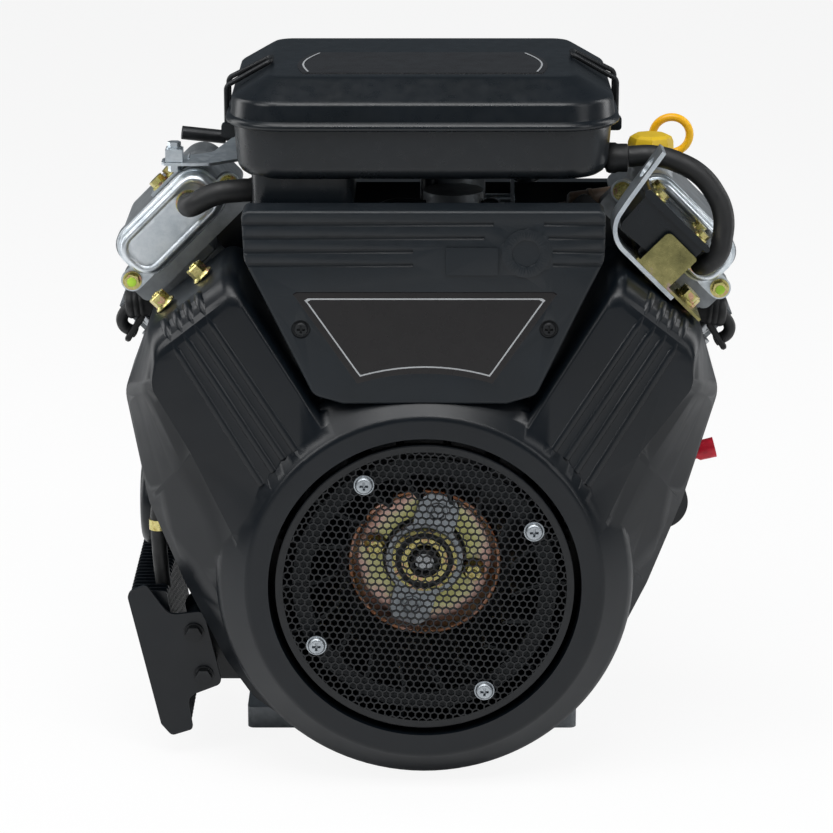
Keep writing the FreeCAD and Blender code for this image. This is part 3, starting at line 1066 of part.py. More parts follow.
def make_controls():
    """Control bracket over the left head, the cable clamp on it and the choke lever."""
    plate = slab([(-184, -158, 6), (-150, -158, 3), (-112, -128, 6), (-96, -128, 6), (-96, -18, 6), (-128, -18, 6),
                  (-150, -120, 10), (-184, -140, 6)], CONTROL_Z, CONTROL_Z + 2)
    x, y = CHOKE_PIVOT
    tools = [rod((x, y, CONTROL_Z - 1), (x, y, CONTROL_Z + 3), 4.05),
             rod((-175, -150, CONTROL_Z - 1), (-175, -150, CONTROL_Z + 3), 2.7)]
    seat = COVER_TOP + COVER_RIM + GAP
    tab = on_left(box(42, 80, -BOX_FRONT + 6, -BOX_FRONT + 22, seat, seat + 2))
    keep("control_bracket", cut(fuse([plate, tab]), tools))
    bolts = [on_left(flange_bolt((t, -BOX_FRONT + 14, seat + 2.1), (0, 0, 1), 6.0, 0.0)) for t in (51, 64)]
    keep("bracket_bolts", Part.makeCompound(bolts))
    block = box(-181, -169, -156, -144, CONTROL_Z + 2 + GAP, CONTROL_Z + 11)
    bolt = flange_bolt((-175, -150, CONTROL_Z + 11), (0, 0, 1), 5.0, 16.0)
    nut = hexagon((-175, -150, CONTROL_Z - GAP), (0, 0, -1), 8.0, 5)
    keep("cable_clamp", fuse([block, bolt, nut]))
    z = CONTROL_Z - 2.3
    lever = slab([(x - 6, y - 7, 5), (x + 10, y - 7, 5), (x + 10, y + 7, 5), (x - 6, y + 7, 5)], z, z + 2)
    arm = tube([(x, y, z - 2), (x - 30, y + 2, z - 4), (x - 62, y - 2, z)], 3.0, 30.0)
    grip = tube([(x - 34, y + 1.6, z - 3.8), (x - 48, y + 0.2, z - 2), (x - 66, y - 2.5, z + 0.5)], 5.0, 40.0)
    pin = rod((x, y, z), (x, y, CONTROL_Z + 4.4), 4.0)
    cap = rod((x, y, CONTROL_Z + 2.1), (x, y, CONTROL_Z + 4.4), 5.5)
    keep("choke_lever", fuse([lever, arm, grip, pin, cap]))


# ------------------------------------------------------------------ right side: pump, bracket, strap, filler
def right_prism(points, y0, y1):
    """Solid from an outline of (t, along, radius) points in the right cylinder's plane."""
    solid = prism(points, y0, y1)
    return mirror_x(turn_y(solid, -V_ANGLE / 2))


def make_pump():
    """Pulse fuel pump on its folded bracket, which stands on the right head."""
    body = right_prism([(29, 272, 4), (82, 268, 6), (84, 297, 3), (29, 299, 3)], PUMP_Y0, PUMP_Y1)
    step = right_prism([(29, 264, 2), (60, 264, 4), (60, 274, 0), (29, 274, 0)], PUMP_Y0 + 4, PUMP_Y1 - 4)
    lid = right_prism([(26, 298, 2), (86, 296, 2), (86, PUMP_TOP, 2), (26, PUMP_TOP, 2)], PUMP_Y0 - 2, PUMP_Y1 + 2)
    keep("fuel_pump", fuse([body, step, lid]))
    bolts = []
    for t, y in ((76, PUMP_Y0 + 4), (76, PUMP_Y1 - 4), (36, PUMP_Y0 + 4), (36, PUMP_Y1 - 4)):
        bolts.append(flange_bolt((t, y, PUMP_TOP + 0.1), (0, 0, 1), 5.0, 0.0))
    bolts.append(flange_bolt((10, PUMP_Y0 + 14, 263.6), (0, 0, 1), 8.0, 0.0))
    moved = [mirror_x(turn_y(b, -V_ANGLE / 2)) for b in bolts]
    keep("pump_bolts", Part.makeCompound(moved))
    y0 = PUMP_Y0 - GAP - 3
    face = right_prism([(28, 262, 0), (56, 262, 2), (56, 291, 4), (28, 291, 2)], y0 - 2, y0)
    sole = right_prism([(-4, 261.5, 0), (58, 261.5, 0), (58, 263.5, 0), (-4, 263.5, 0)], y0 - 2, RIGHT_FLANGE_FRONT)
    keep("pump_bracket", fuse([face, sole]))


def make_strap():
    """Lifting strap: a bent flat bar with the eye at its top."""
    y0, y1 = PUMP_Y0 - 4, PUMP_Y0 + 22
    outer = [(20, 258.2, 0), (86, 258.2, 22), (92, 286, 30), (99, 326, 0), (96, 326.5, 0), (89, 286.5, 27),
             (83.5, 261.2, 19), (20, 261.2, 0)]
    bar = right_prism(outer, y0, y1)
    middle = (y0 + y1) / 2
    eye = rod((EYE_T - 30, middle, EYE_ALONG + 30 * EYE_LEAN), (EYE_T + 30, middle, EYE_ALONG - 30 * EYE_LEAN), EYE_R)
    keep("lifting_strap", bar.cut(mirror_x(turn_y(eye, -V_ANGLE / 2))))


def dipstick_rod(s0, s1, r):
    """Cylinder on the dipstick's line between two distances from its start."""
    a, b = Vector(*DIP_START), Vector(*DIP_END)
    d = (b - a).normalize()
    p, q = a + d * s0, a + d * s1
    return rod(tuple(p), tuple(q), r)


def make_filler():
    """Oil filler cap on the right rocker box, and the dipstick in its tube."""
    x, y = FILLER
    neck = ring((x, y, BOX_FOOT - 14), (x, y, FILLER_Z), 12.0, 16.0)
    inside = mirror_x(turn_y(box(-60, COVER_T1 - 2, -190, 90, 100, COVER_TOP - 2), -V_ANGLE / 2))
    head_right = MADE["cylinder_head_right"].fuse(neck.cut(inside))
    MADE["cylinder_head_right"] = head_right.cut(rod((x, y, FILLER_Z - 15), (x, y, FILLER_Z + 1), 12.0))
    skirt = rod((x, y, FILLER_Z - 14), (x, y, FILLER_Z + 1), 11.93)
    flange = rod((x, y, FILLER_Z + GAP), (x, y, FILLER_Z + 4), 18.0)
    top = cone((x, y, FILLER_Z + 4), (x, y, FILLER_Z + 17), 16.5, 14.0)
    keep("oil_filler_cap", fuse([skirt, flange, top]))
    whole = (Vector(*DIP_END) - Vector(*DIP_START)).Length
    tube_solid = dipstick_rod(2, whole, DIP_R).cut(dipstick_rod(1, whole + 1, 4.5))
    keep("dipstick_tube", tube_solid)
    blade = dipstick_rod(20, whole, 2.0)
    plug = dipstick_rod(whole - 14, whole + GAP, 4.42).fuse(dipstick_rod(whole + GAP, whole + 8, 7.0))
    d = (Vector(*DIP_END) - Vector(*DIP_START)).normalize()
    centre = Vector(*DIP_END) + d * 22
    loop = Part.makeTorus(13.5, 2.9, centre, Vector(0, 1, 0.12))
    keep("dipstick", fuse([blade, plug, loop]))


# ------------------------------------------------------------------ hoses, leads, cooler, filter and starter
def nipple_place(side, nipple):
    """Where a rocker cover's nipple leaves the cover."""
    t, along = nipple
    y = CYLINDER_Y - BOX_FRONT - GAP - COVER_DEPTH - 0.2
    if side == "left":
        return (t - along) / math.sqrt(2), y, (t + along) / math.sqrt(2)
    return (along - t) / math.sqrt(2), y - CYLINDER_OFFSET, (t + along) / math.sqrt(2)


def make_hoses():
    """Breather and vent hoses from the rocker covers to the air cleaner, with their spring clamps."""
    x, y, z = nipple_place("left", NIPPLE_LEFT)
    end = AC_BOTTOM - GAP
    points = [(x, y, z), (x, y - 21, z), (x + 20, y - 24, z + 12), (x + 50, y - 20, z + 13), (x + 60, y - 12, end)]
    breather = tube(points, HOSE_R).cut(rod((x, y, z), (x, y - 9.5, z), NIPPLE_R + 0.05))
    keep("breather_hose", breather.common(box(-300, 300, -300, 0, 0, end)))
    clamps = [ring((x, y - 4, z), (x, y - 6.5, z), HOSE_R + 0.1, HOSE_R + 1.4)]
    x, y, z = nipple_place("right", NIPPLE_RIGHT)
    points = [(x, y, z), (x, y - 20, z), (x + 12, y - 24, z + 10), (x + 16, y - 18, z + 38),
              (x + 0, y - 10, z + 64), (x - 30, y - 4, z + 76), (x - 60, y - 2, z + 73)]
    vent = tube(points, VENT_R).cut(rod((x, y, z), (x, y - 9.5, z), NIPPLE_R + 0.05))
    keep("vent_hose", vent)
    clamps.append(ring((x, y - 3, z), (x, y - 5.5, z), VENT_R + 0.1, VENT_R + 1.4))
    keep("hose_clamps", Part.makeCompound(clamps))


def make_cooler():
    """Oil cooler beside the housing: bracket plate, finned core and its bolts."""
    y0 = COOLER_FRONT
    outline = [(-212, -24, 6), (-189.5, -124, 4), (-182, -133, 4), (-166.5, -128, 3), (-170, -103, 8),
               (-145, -93, 5), (-157.5, -38, 5), (-182, -41, 10), (-198, -18, 3)]
    plate = prism(outline, y0, y0 + COOLER_PLATE)
    rim = prism([(-210, -29, 1), (-188.5, -122, 1), (-184, -124, 1), (-205, -30, 1)], y0 + 1, y0 + 9)
    slots = []
    for x, z in COOLER_BOLTS:
        slots.append(prism([(x - 5, z - 3.4, 3.3), (x + 5, z - 3.4, 3.3), (x + 5, z + 3.4, 3.3), (x - 5, z + 3.4, 3.3)],
                           y0 - 1, y0 + 9))
    keep("cooler_bracket", cut(fuse([plate, rim]), slots))
    bolts = [flange_bolt((x, y0 - 0.1, z), (0, -1, 0), 8.0 * 0.8, 20.0) for x, z in COOLER_BOLTS]
    keep("cooler_bolts", Part.makeCompound(bolts))
    core_points = [(-203, -32, 3), (-186, -32, 3), (-171, -122, 3), (-185, -122, 3)]
    fin_points = [(-211, -26, 3), (-184, -26, 3), (-168, -130, 3), (-187, -130, 3)]
    start = y0 + 9 + GAP
    core = prism(core_points, start, start + COOLER_LENGTH)
    fins = []
    for k in range(int(COOLER_LENGTH / COOLER_FIN_PITCH)):
        fins.append(prism(fin_points, start + COOLER_FIN_PITCH * k, start + COOLER_FIN_PITCH * k + 1.6))
    keep("oil_cooler", fuse([core] + fins))


def make_oil_filter():
    """Spin-on oil filter on the left of the crankcase."""
    x0, x1 = FILTER_X0, FILTER_X0 - FILTER_LENGTH
    can = rod((x0, FILTER_Y, FILTER_Z), (x1, FILTER_Y, FILTER_Z), FILTER_R)
    end = [e for e in can.Edges if abs(e.CenterOfMass.x - x1) < 0.1]
    can = can.makeFillet(8.0, end)
    keep("oil_filter", can)


def make_starter():
    """Starter motor with its solenoid and terminal boot, beside the crankcase."""
    front, rear = BACKPLATE_REAR + GAP, CASE_REAR - 4
    body = rod((STARTER_X, front, STARTER_Z), (STARTER_X, rear, STARTER_Z), STARTER_R)
    nose = rod((STARTER_X, front, STARTER_Z), (STARTER_X, front + 10, STARTER_Z), STARTER_R + 4)
    bridge = box(STARTER_X + 10, SOLENOID[0], -118, -96, -10, SOLENOID[1] + 8)
    x, z = SOLENOID
    can = rod((x + 8, -130, z), (x + 8, -70, z), 20.0)
    studs = [rod((x + 8, -71, z + s), (x + 8, -56, z + s), 3.5) for s in (-8, 8)]
    nose = nose.common(box(84, 300, -200, 0, -100, 100))
    keep("starter_motor", fuse([body, nose, bridge, can] + studs))
    boot = rod((x + 8, -69 + GAP, z + 8), (x + 8, -48, z + 8), 8.5).fuse(
        cone((x + 8, -57, z + 8), (x + 30, -57, z + 18), 8.0, 6.0))
    keep("terminal_boot", boot.cut(rod((x + 8, -75, z + 8), (x + 8, -55.5, z + 8), 3.7)).cut(
        rod((x + 8, -75, z - 8), (x + 8, -55.5, z - 8), 3.7)))


BUILDERS = [make_crankcase, make_case_cover, make_cover_bolts, make_bearings, make_cylinders, make_rocker_bolts,
            make_crankshaft, make_gears, make_camshaft, make_pistons, make_flywheel, make_fan, make_screen,
            make_screen_screws, make_hub, make_nut, make_housing, make_backplate, make_panel, make_air_cleaner,
            make_latches, make_carburetor, make_controls, make_pump, make_strap, make_filler, make_hoses,
            make_cooler, make_oil_filter, make_starter]


def main():
    """Build every sub-part and write one STEP file for each."""
    os.makedirs("parts", exist_ok=True)
    for build in BUILDERS:
        build()
    for name, shape in MADE.items():
        shape.exportStep("parts/%s.step" % name)
        if not shape.isValid() or shape.Volume <= 0:
            print("NOT VALID", name)
        print(name, len(shape.Solids), "solids", len(shape.Faces), "faces", round(shape.Volume / 1000, 1), "cm3")


main()
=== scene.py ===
"""Small V-twin gasoline engine: finishes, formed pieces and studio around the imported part."""

import math

import bmesh
import bpy
from bpy.props import FloatProperty, PointerProperty
from mathutils import Matrix, Vector


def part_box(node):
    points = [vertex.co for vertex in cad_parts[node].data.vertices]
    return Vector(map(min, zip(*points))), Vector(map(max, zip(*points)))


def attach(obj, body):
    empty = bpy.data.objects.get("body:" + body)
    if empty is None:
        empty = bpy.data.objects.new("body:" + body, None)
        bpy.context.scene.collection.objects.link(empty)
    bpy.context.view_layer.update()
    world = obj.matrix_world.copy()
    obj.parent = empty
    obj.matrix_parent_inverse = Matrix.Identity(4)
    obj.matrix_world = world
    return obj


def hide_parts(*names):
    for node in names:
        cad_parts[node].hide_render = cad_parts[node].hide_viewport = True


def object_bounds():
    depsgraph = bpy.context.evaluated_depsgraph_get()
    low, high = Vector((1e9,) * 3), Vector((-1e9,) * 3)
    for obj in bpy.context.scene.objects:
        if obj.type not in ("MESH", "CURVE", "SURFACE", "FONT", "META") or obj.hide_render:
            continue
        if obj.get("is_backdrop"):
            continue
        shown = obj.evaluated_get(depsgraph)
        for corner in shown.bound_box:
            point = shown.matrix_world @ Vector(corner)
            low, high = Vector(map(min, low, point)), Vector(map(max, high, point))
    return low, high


bl_info = {
    "name": "Small Gasoline Engine",
    "version": (1, 0, 0),
    "blender": (4, 5, 0),
    "location": "View3D > Sidebar > Engine",
    "description": "Finishes and formed pieces for a small V-twin gasoline engine",
    "category": "Add Mesh",
}

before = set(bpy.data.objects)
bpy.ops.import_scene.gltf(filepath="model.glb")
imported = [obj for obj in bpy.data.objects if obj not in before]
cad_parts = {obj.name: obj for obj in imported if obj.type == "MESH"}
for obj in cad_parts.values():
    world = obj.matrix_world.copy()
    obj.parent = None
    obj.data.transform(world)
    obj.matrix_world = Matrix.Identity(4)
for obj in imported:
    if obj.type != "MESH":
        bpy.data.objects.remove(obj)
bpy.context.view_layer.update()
MM = 0.001


# ---------------------------------------------------------------- points
def mm(x, y, z):
    """A point whose coordinates are given in mm."""
    return Vector((x, y, z)) * MM


def circle(count, first=0.0):
    """The cosine and sine of each step round a circle, from the angle first on."""
    angles = [first + 2 * math.pi * k / count for k in range(count)]
    return [(math.cos(a), math.sin(a)) for a in angles]


# ---------------------------------------------------------------- nodes and colours
def linear(hex_colour):
    """An sRGB hex colour as a linear RGBA colour."""
    channels = [int(hex_colour[i : i + 2], 16) / 255 for i in (1, 3, 5)]
    bent = [c / 12.92 if c <= 0.04045 else ((c + 0.055) / 1.055) ** 2.4 for c in channels]
    return (*bent, 1.0)


def add(tree, kind, sockets=None, **settings):
    """Adds a node to a tree with its settings, and sets or links its sockets by name or number."""
    node = tree.nodes.new(kind)
    for name, value in settings.items():
        setattr(node, name, value)
    for key, value in (sockets or {}).items():
        if isinstance(value, bpy.types.NodeSocket):
            tree.links.new(value, node.inputs[key])
        else:
            node.inputs[key].default_value = value
    return node


def ramp(tree, factor, stops):
    """Adds a colour ramp whose stops are (place, hex colour) pairs."""
    node = add(tree, "ShaderNodeValToRGB", {"Fac": factor})
    elements = node.color_ramp.elements
    while len(elements) < len(stops):
        elements.new(0.5)
    for element, (place, colour) in zip(elements, stops):
        element.position = place
        element.color = linear(colour)
    return node.outputs["Color"]


def blank_material(name):
    """A material with only a Principled shader, and object coordinates to draw on."""
    material = bpy.data.materials.new(name)
    material.use_nodes = True
    tree = material.node_tree
    tree.nodes.clear()
    place = add(tree, "ShaderNodeTexCoord").outputs["Object"]
    shader = add(tree, "ShaderNodeBsdfPrincipled")
    add(tree, "ShaderNodeOutputMaterial", {"Surface": shader.outputs["BSDF"]})
    return material, tree, shader, place


def relief(tree, shader, height, depth_mm):
    """Raises the surface by depth_mm where the height is one."""
    bump = add(tree, "ShaderNodeBump", {"Strength": 1.0, "Distance": depth_mm * MM, "Height": height})
    tree.links.new(bump.outputs["Normal"], shader.inputs["Normal"])


def noise(tree, place, size_mm, detail=2.0, roughness=0.5):
    """Noise whose features are about size_mm across."""
    sockets = {"Vector": place, "Scale": 1 / (size_mm * MM), "Detail": detail, "Roughness": roughness}
    return add(tree, "ShaderNodeTexNoise", sockets).outputs["Fac"]


def spread(tree, value, low, high):
    """Maps a noise value onto low to high."""
    sockets = {"Value": value, "From Min": 0.3, "From Max": 0.7, "To Min": low, "To Max": high}
    return add(tree, "ShaderNodeMapRange", sockets).outputs["Result"]


# ---------------------------------------------------------------- finishes
def surface(name, cloud, stops, drift, rough, grain, depth_mm, **settings):
    """A clouded colour, a drifting sheen and a fine relief; a noise is its size in mm, detail, roughness."""
    material, tree, shader, place = blank_material(name)
    tree.links.new(ramp(tree, noise(tree, place, *cloud), stops), shader.inputs["Base Color"])
    tree.links.new(spread(tree, noise(tree, place, *drift), *rough), shader.inputs["Roughness"])
    for label, value in settings.items():
        shader.inputs[label.replace("_", " ")].default_value = value
    relief(tree, shader, noise(tree, place, *grain), depth_mm)
    return material


def lighter(hex_colour, factor):
    """The same hue, lighter or darker by a factor."""
    channels = [min(255, round(int(hex_colour[i : i + 2], 16) * factor)) for i in (1, 3, 5)]
    return "#" + "".join(f"{c:02x}" for c in channels)


def two_tone(colour, factor, low=0.3, high=0.7):
    """Ramp stops from a colour to a lighter one."""
    return [(low, colour), (high, lighter(colour, factor))]


def painted_sheet(name, paint):
    """Pressed sheet steel in satin powder coat: a soft grey sheen with a faint orange peel."""
    return surface(name, (60,), two_tone(paint, 1.25), (18,), (0.3, 0.37), (0.9,), 0.02,
                   Specular_IOR_Level=0.37)


def moulded_plastic(name, colour, grain_mm=0.5, depth_mm=0.03, rough=(0.42, 0.52)):
    """Injection-moulded plastic with a spark-eroded grain: even colour, soft broken sheen."""
    return surface(name, (45,), two_tone(colour, 1.18), (9,), rough, (grain_mm, 3.0), depth_mm,
                   Specular_IOR_Level=0.4)


def zinc_plate(name):
    """Bright zinc on pressed steel: pale blue-grey, cloudy, with a satin sheen that varies."""
    stops = [(0.25, "#bcc6cd"), (0.5, "#dbe2e7"), (0.75, "#eef2f5")]
    return surface(name, (16, 5.0, 0.65), stops, (3, 4.0), (0.3, 0.5), (2.5, 3.0), 0.03, Metallic=1.0)


def yellow_zinc(name, stops, cloud_mm=7.0):
    """Yellow chromate over zinc: gold that turns olive, pink and green in thin interference films."""
    return surface(name, (cloud_mm, 3.0, 0.6), stops, (1.5, 3.0), (0.22, 0.4), (1.2, 3.0), 0.015,
                   Metallic=1.0)


def banded_zinc(name, stops):
    """Yellow chromate on a drawn cup: its film runs from green at the middle to pink and brown at the rim."""
    material, tree, shader, place = blank_material(name)
    flat = add(tree, "ShaderNodeVectorMath", {0: place, 1: (1.0, 0.0, 1.0)}, operation="MULTIPLY")
    reach = add(tree, "ShaderNodeVectorMath", {0: flat.outputs["Vector"]}, operation="LENGTH")
    radius = reach.outputs["Value"]
    share = math_node(tree, "MULTIPLY", radius, 1 / (CUP_RADIUS * MM))
    drift = spread(tree, noise(tree, place, 22, 3.0), -0.09, 0.09)
    tree.links.new(ramp(tree, math_node(tree, "ADD", share, drift), stops), shader.inputs["Base Color"])
    tree.links.new(spread(tree, noise(tree, place, 2.5, 3.0), 0.3, 0.46), shader.inputs["Roughness"])
    shader.inputs["Metallic"].default_value = 0.9
    relief(tree, shader, noise(tree, place, 1.2, 3.0), 0.015)
    return material


def cast_metal(name, dark, light, grain_mm, depth_mm, rough, metallic=1.0):
    """A casting as it leaves the mould: grey skin, fine pits and no mirror anywhere."""
    return surface(name, (22, 5.0, 0.6), [(0.3, dark), (0.7, light)], (5, 4.0), rough, (grain_mm, 4.0, 0.6),
                   depth_mm, Metallic=metallic)


def rubber(name, colour, rough=(0.45, 0.62)):
    """Moulded or extruded rubber: deep colour, dull, with a little bloom."""
    return surface(name, (14, 4.0, 0.6), two_tone(colour, 1.35, 0.35, 0.75), (6,), rough, (0.7, 3.0), 0.02)


def coated_film(name, colour):
    """Printed polyester film under a clear coat: even, smooth and nearly black."""
    return surface(name, (30,), two_tone(colour, 1.1), (12,), (0.2, 0.3), (4,), 0.008,
                   Specular_IOR_Level=0.3, Coat_Weight=0.1, Coat_Roughness=0.12)


GOLD = [(0.3, "#b3a35e"), (0.43, "#dccf8e"), (0.54, "#c3bf74"), (0.63, "#dca894"), (0.75, "#aebb76")]
CUP_BANDS = [(0.0, "#cfcb86"), (0.3, "#cfcb86"), (0.62, "#c8c684"), (0.72, "#d8d5a4"), (0.79, "#dcbaae"),
             (0.86, "#cfa596"), (0.92, "#a97a5c"), (1.0, "#84543a")]
OLIVE = [(0.25, "#6f6c48"), (0.5, "#8f8a5c"), (0.65, "#a79f6c"), (0.8, "#b08fa6")]
CUP_RADIUS = 56.0             # of the bands' outermost stop, in mm

FINISHES = {
    # pressed steel, powder coated: the housing's soft satin black
    "powder_coated_steel": lambda n: painted_sheet(n, "#080d12"),
    # glass-filled nylon, grained: the front panel's flat dark grey
    "grained_nylon": lambda n: moulded_plastic(n, "#10161b", 0.7, 0.04, (0.42, 0.52)),
    # polypropylene, lightly grained: the air cleaner's smoother sheen
    "moulded_polypropylene": lambda n: moulded_plastic(n, "#0e1317", 0.5, 0.02, (0.26, 0.34)),
    # polyamide, glossy: the screen
    "screen_polyamide": lambda n: moulded_plastic(n, "#090c0f", 1.2, 0.01, (0.3, 0.4)),
    # bright zinc on pressed steel: the pale rocker covers, strap and brackets
    "bright_zinc_plate": zinc_plate,
    # zinc that has gone grey: the screws and the starter's plate
    "dull_zinc": lambda n: cast_metal(n, "#989ea3", "#b9bfc4", 1.2, 0.02, (0.36, 0.5)),
    # yellow chromate on small fasteners: gold with a little pink and green
    "yellow_chromate": lambda n: yellow_zinc(n, GOLD),
    # yellow chromate on the drawn cup: green to pink to brown, by radius
    "iridescent_chromate": lambda n: banded_zinc(n, CUP_BANDS),
    # olive chromate on the pump's bracket
    "olive_chromate": lambda n: yellow_zinc(n, OLIVE, 14.0),
    # pressure die-cast aluminium, unpainted
    "die_cast_aluminium": lambda n: cast_metal(n, "#84888b", "#a6aaad", 0.8, 0.06, (0.42, 0.6)),
    # grey iron with its casting skin
    "cast_iron_skin": lambda n: cast_metal(n, "#3b3c3e", "#555759", 0.9, 0.08, (0.5, 0.7), 0.6),
    # forged and ground steel
    "ground_steel": lambda n: cast_metal(n, "#8c8f92", "#b3b6b9", 2.0, 0.01, (0.22, 0.34)),
    # oiled black phosphate
    "black_phosphate": lambda n: cast_metal(n, "#17181a", "#26282a", 0.6, 0.02, (0.35, 0.5), 0.5),
    # extruded and moulded rubber: the hoses' and boots' dull black
    "extruded_rubber": lambda n: rubber(n, "#0e0f10"),
    # dipped vinyl: the one red spot
    "red_vinyl": lambda n: rubber(n, "#b4142a", (0.35, 0.5)),
    # moulded polyamide: the cap's yellow and the dipstick's amber
    "yellow_polyamide": lambda n: moulded_plastic(n, "#c9a824", 0.8, 0.02, (0.36, 0.46)),
    "amber_polyamide": lambda n: moulded_plastic(n, "#f0ab14", 0.8, 0.015, (0.28, 0.38)),
    # moulded nylon: the lead's white connector
    "white_nylon": lambda n: moulded_plastic(n, "#e4e4de", 0.8, 0.02, (0.4, 0.5)),
    # bare label film: near-black and smooth beside the grained plastic
    "printed_film": lambda n: coated_film(n, "#151314"),
    # white ink under the film's clear coat
    "printed_line": lambda n: coated_film(n, "#9b9d9f"),
    # yellow chromate in broader clouds: the rings about the nose
    "banded_washer": lambda n: yellow_zinc(n, GOLD, 9.0),
    # smoked nylon that has browned with age
    "smoked_nylon": lambda n: moulded_plastic(n, "#6b5a4c", 0.8, 0.02, (0.35, 0.45)),
    # resin-treated paper: the filter element's dry tan
    "pleated_paper": lambda n: moulded_plastic(n, "#c9b48a", 0.4, 0.05, (0.75, 0.85)),
    # pressed graphite: the gaskets' dark thin edges
    "graphite_gasket": lambda n: cast_metal(n, "#2a2b2d", "#3a3b3d", 0.4, 0.02, (0.5, 0.7), 0.0),
    # inspection paint: a green dot on one bolt of each cover
    "paint_mark": lambda n: rubber(n, "#9ccb3a", (0.5, 0.6)),
}

# Each CAD node's finish, by the node's name.
NODE_FINISH = {
    "die_cast_aluminium": "crankcase crankcase_cover cylinder_head_left cylinder_head_right cylinder_left "
    "cylinder_right piston_left piston_right intake_manifold carburetor",
    "powder_coated_steel": "blower_housing cooler_bracket oil_cooler oil_filter backplate starter_motor",
    "grained_nylon": "front_panel cooling_fan",
    "moulded_polypropylene": "air_cleaner_base air_cleaner_cover fuel_pump",
    "screen_polyamide": "rotating_screen",
    "dull_zinc": "screen_screws hub_plate",
    "bright_zinc_plate": "rocker_cover_left rocker_cover_right lifting_strap "
    "throttle_lever cable_clamp control_bracket",
    "yellow_chromate": "rocker_cover_bolts cover_bolts bracket_bolts pump_bolts hose_clamps",
    "iridescent_chromate": "starter_cup",
    "olive_chromate": "pump_bracket",
    "cast_iron_skin": "flywheel ring_gear",
    "ground_steel": "crankshaft crank_gear camshaft bearings spark_plugs",
    "black_phosphate": "flywheel_nut cooler_bolts panel_screws dipstick_tube latch_left latch_right "
    "choke_lever",
    "extruded_rubber": "breather_hose vent_hose plug_boots",
    "red_vinyl": "terminal_boot",
    "yellow_polyamide": "oil_filler_cap",
    "amber_polyamide": "dipstick",
    "printed_film": "panel_plate",
    "pleated_paper": "filter_element",
    "graphite_gasket": "head_gaskets",
}


def finish(name):
    """The material of that name, made on its first use."""
    return bpy.data.materials.get(name) or FINISHES[name](name)


def dress(node, name):
    """Gives a CAD node its finish in its own material slots."""
    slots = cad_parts[node].material_slots
    for slot in slots:
        slot.material = finish(name)
    if not slots:
        raise RuntimeError(f"{node} has no material slot")


# ---------------------------------------------------------------- meshes
def linked(name, data):
    """A new object in the scene."""
    item = bpy.data.objects.new(name, data)
    bpy.context.scene.collection.objects.link(item)
    return item


def new_piece(name, mesh, material):
    """Links a mesh as an object at the origin with one finish."""
    mesh.name = name
    mesh.materials.clear()
    mesh.materials.append(finish(material))
    return linked(name, mesh)


def settled(holder):
    """The mesh that an object's modifiers make, as a plain mesh; the holder is removed."""
    bpy.context.view_layer.update()
    graph = bpy.context.evaluated_depsgraph_get()
    mesh = bpy.data.meshes.new_from_object(holder.evaluated_get(graph), depsgraph=graph)
    bpy.data.objects.remove(holder)
    return mesh


def new_tree(name, inputs):
    """A geometry tree with named inputs: (name, socket type, value). Returns it with its input node."""
    tree = bpy.data.node_groups.new(name, "GeometryNodeTree")
    tree.interface.new_socket(name="Geometry", in_out="INPUT", socket_type="NodeSocketGeometry")
    for label, kind, value in inputs:
        socket = tree.interface.new_socket(name=label, in_out="INPUT", socket_type=kind)
        if hasattr(socket, "default_value") and value is not None:
            socket.default_value = value
    tree.interface.new_socket(name="Geometry", in_out="OUTPUT", socket_type="NodeSocketGeometry")
    return tree, tree.nodes.new("NodeGroupInput")


def close_tree(tree, geometry, material_socket):
    """Ends a tree in real geometry with its material."""
    real = add(tree, "GeometryNodeRealizeInstances", {"Geometry": geometry})
    coated = add(tree, "GeometryNodeSetMaterial", {"Geometry": real.outputs[0], "Material": material_socket})
    add(tree, "NodeGroupOutput", {"Geometry": coated.outputs[0]})


def run_tree(tree, name, values, base=None):
    """Runs a tree on a mesh with its inputs set by identifier, and returns the plain mesh."""
    holder = linked(name, base or bpy.data.meshes.new(name))
    modifier = holder.modifiers.new(name, "NODES")
    modifier.node_group = tree
    for item in tree.interface.items_tree:
        if item.item_type == "SOCKET" and item.in_out == "INPUT" and item.name in values:
            modifier[item.identifier] = values[item.name]
    return settled(holder)


def math_node(tree, operation, a, b=0.0):
    """One sum on two values."""
    return add(tree, "ShaderNodeMath", {0: a, 1: b}, operation=operation).outputs[0]


# ---------------------------------------------------------------- formed meshes
LEFT_PLANE, RIGHT_PLANE = -88.0, -110.0      # Y of each cylinder's axis, in mm
DIAGONAL = math.sqrt(0.5)
SIDES = ("left", "right")


def side_sign(side):
    """-1 on the left of the engine, 1 on its right."""
    return -1 if side == "left" else 1


def bank_point(side, t, y, along):
    """A point of a cylinder's own frame, in mm: t across the bore, y fore and aft, along the bore."""
    plane = LEFT_PLANE if side == "left" else RIGHT_PLANE
    return mm(side_sign(side) * (along - t) * DIAGONAL, plane + y, (along + t) * DIAGONAL)


def skin(built, rows, caps=True):
    """Faces between closed rows of points; caps close the first and the last row."""
    rings = [[built.verts.new(point) for point in row] for row in rows]
    for near, far in zip(rings, rings[1:]):
        for k in range(len(near)):
            j = (k + 1) % len(near)
            built.faces.new((near[k], near[j], far[j], far[k]))
    if caps:
        built.faces.new(rings[0])
        built.faces.new(rings[-1])


def upright(built, outline, levels):
    """A plate that faces the viewer: an outline of (x, z) points at each y, all in mm."""
    skin(built, [[mm(x, y, z) for x, z in outline] for y in levels])


def level_plate(built, outline, levels):
    """A plate that lies level: an outline of (x, y) points at each z, all in mm."""
    skin(built, [[mm(x, y, z) for x, y in outline] for z in levels])


def ribbon(built, outer, inner, steps, place):
    """Flat faces between two outlines, at the given steps along them."""
    for k in steps:
        j = (k + 1) % len(outer)
        corners = (outer[k], outer[j], inner[j], inner[k])
        built.faces.new([built.verts.new(place(*corner)) for corner in corners])


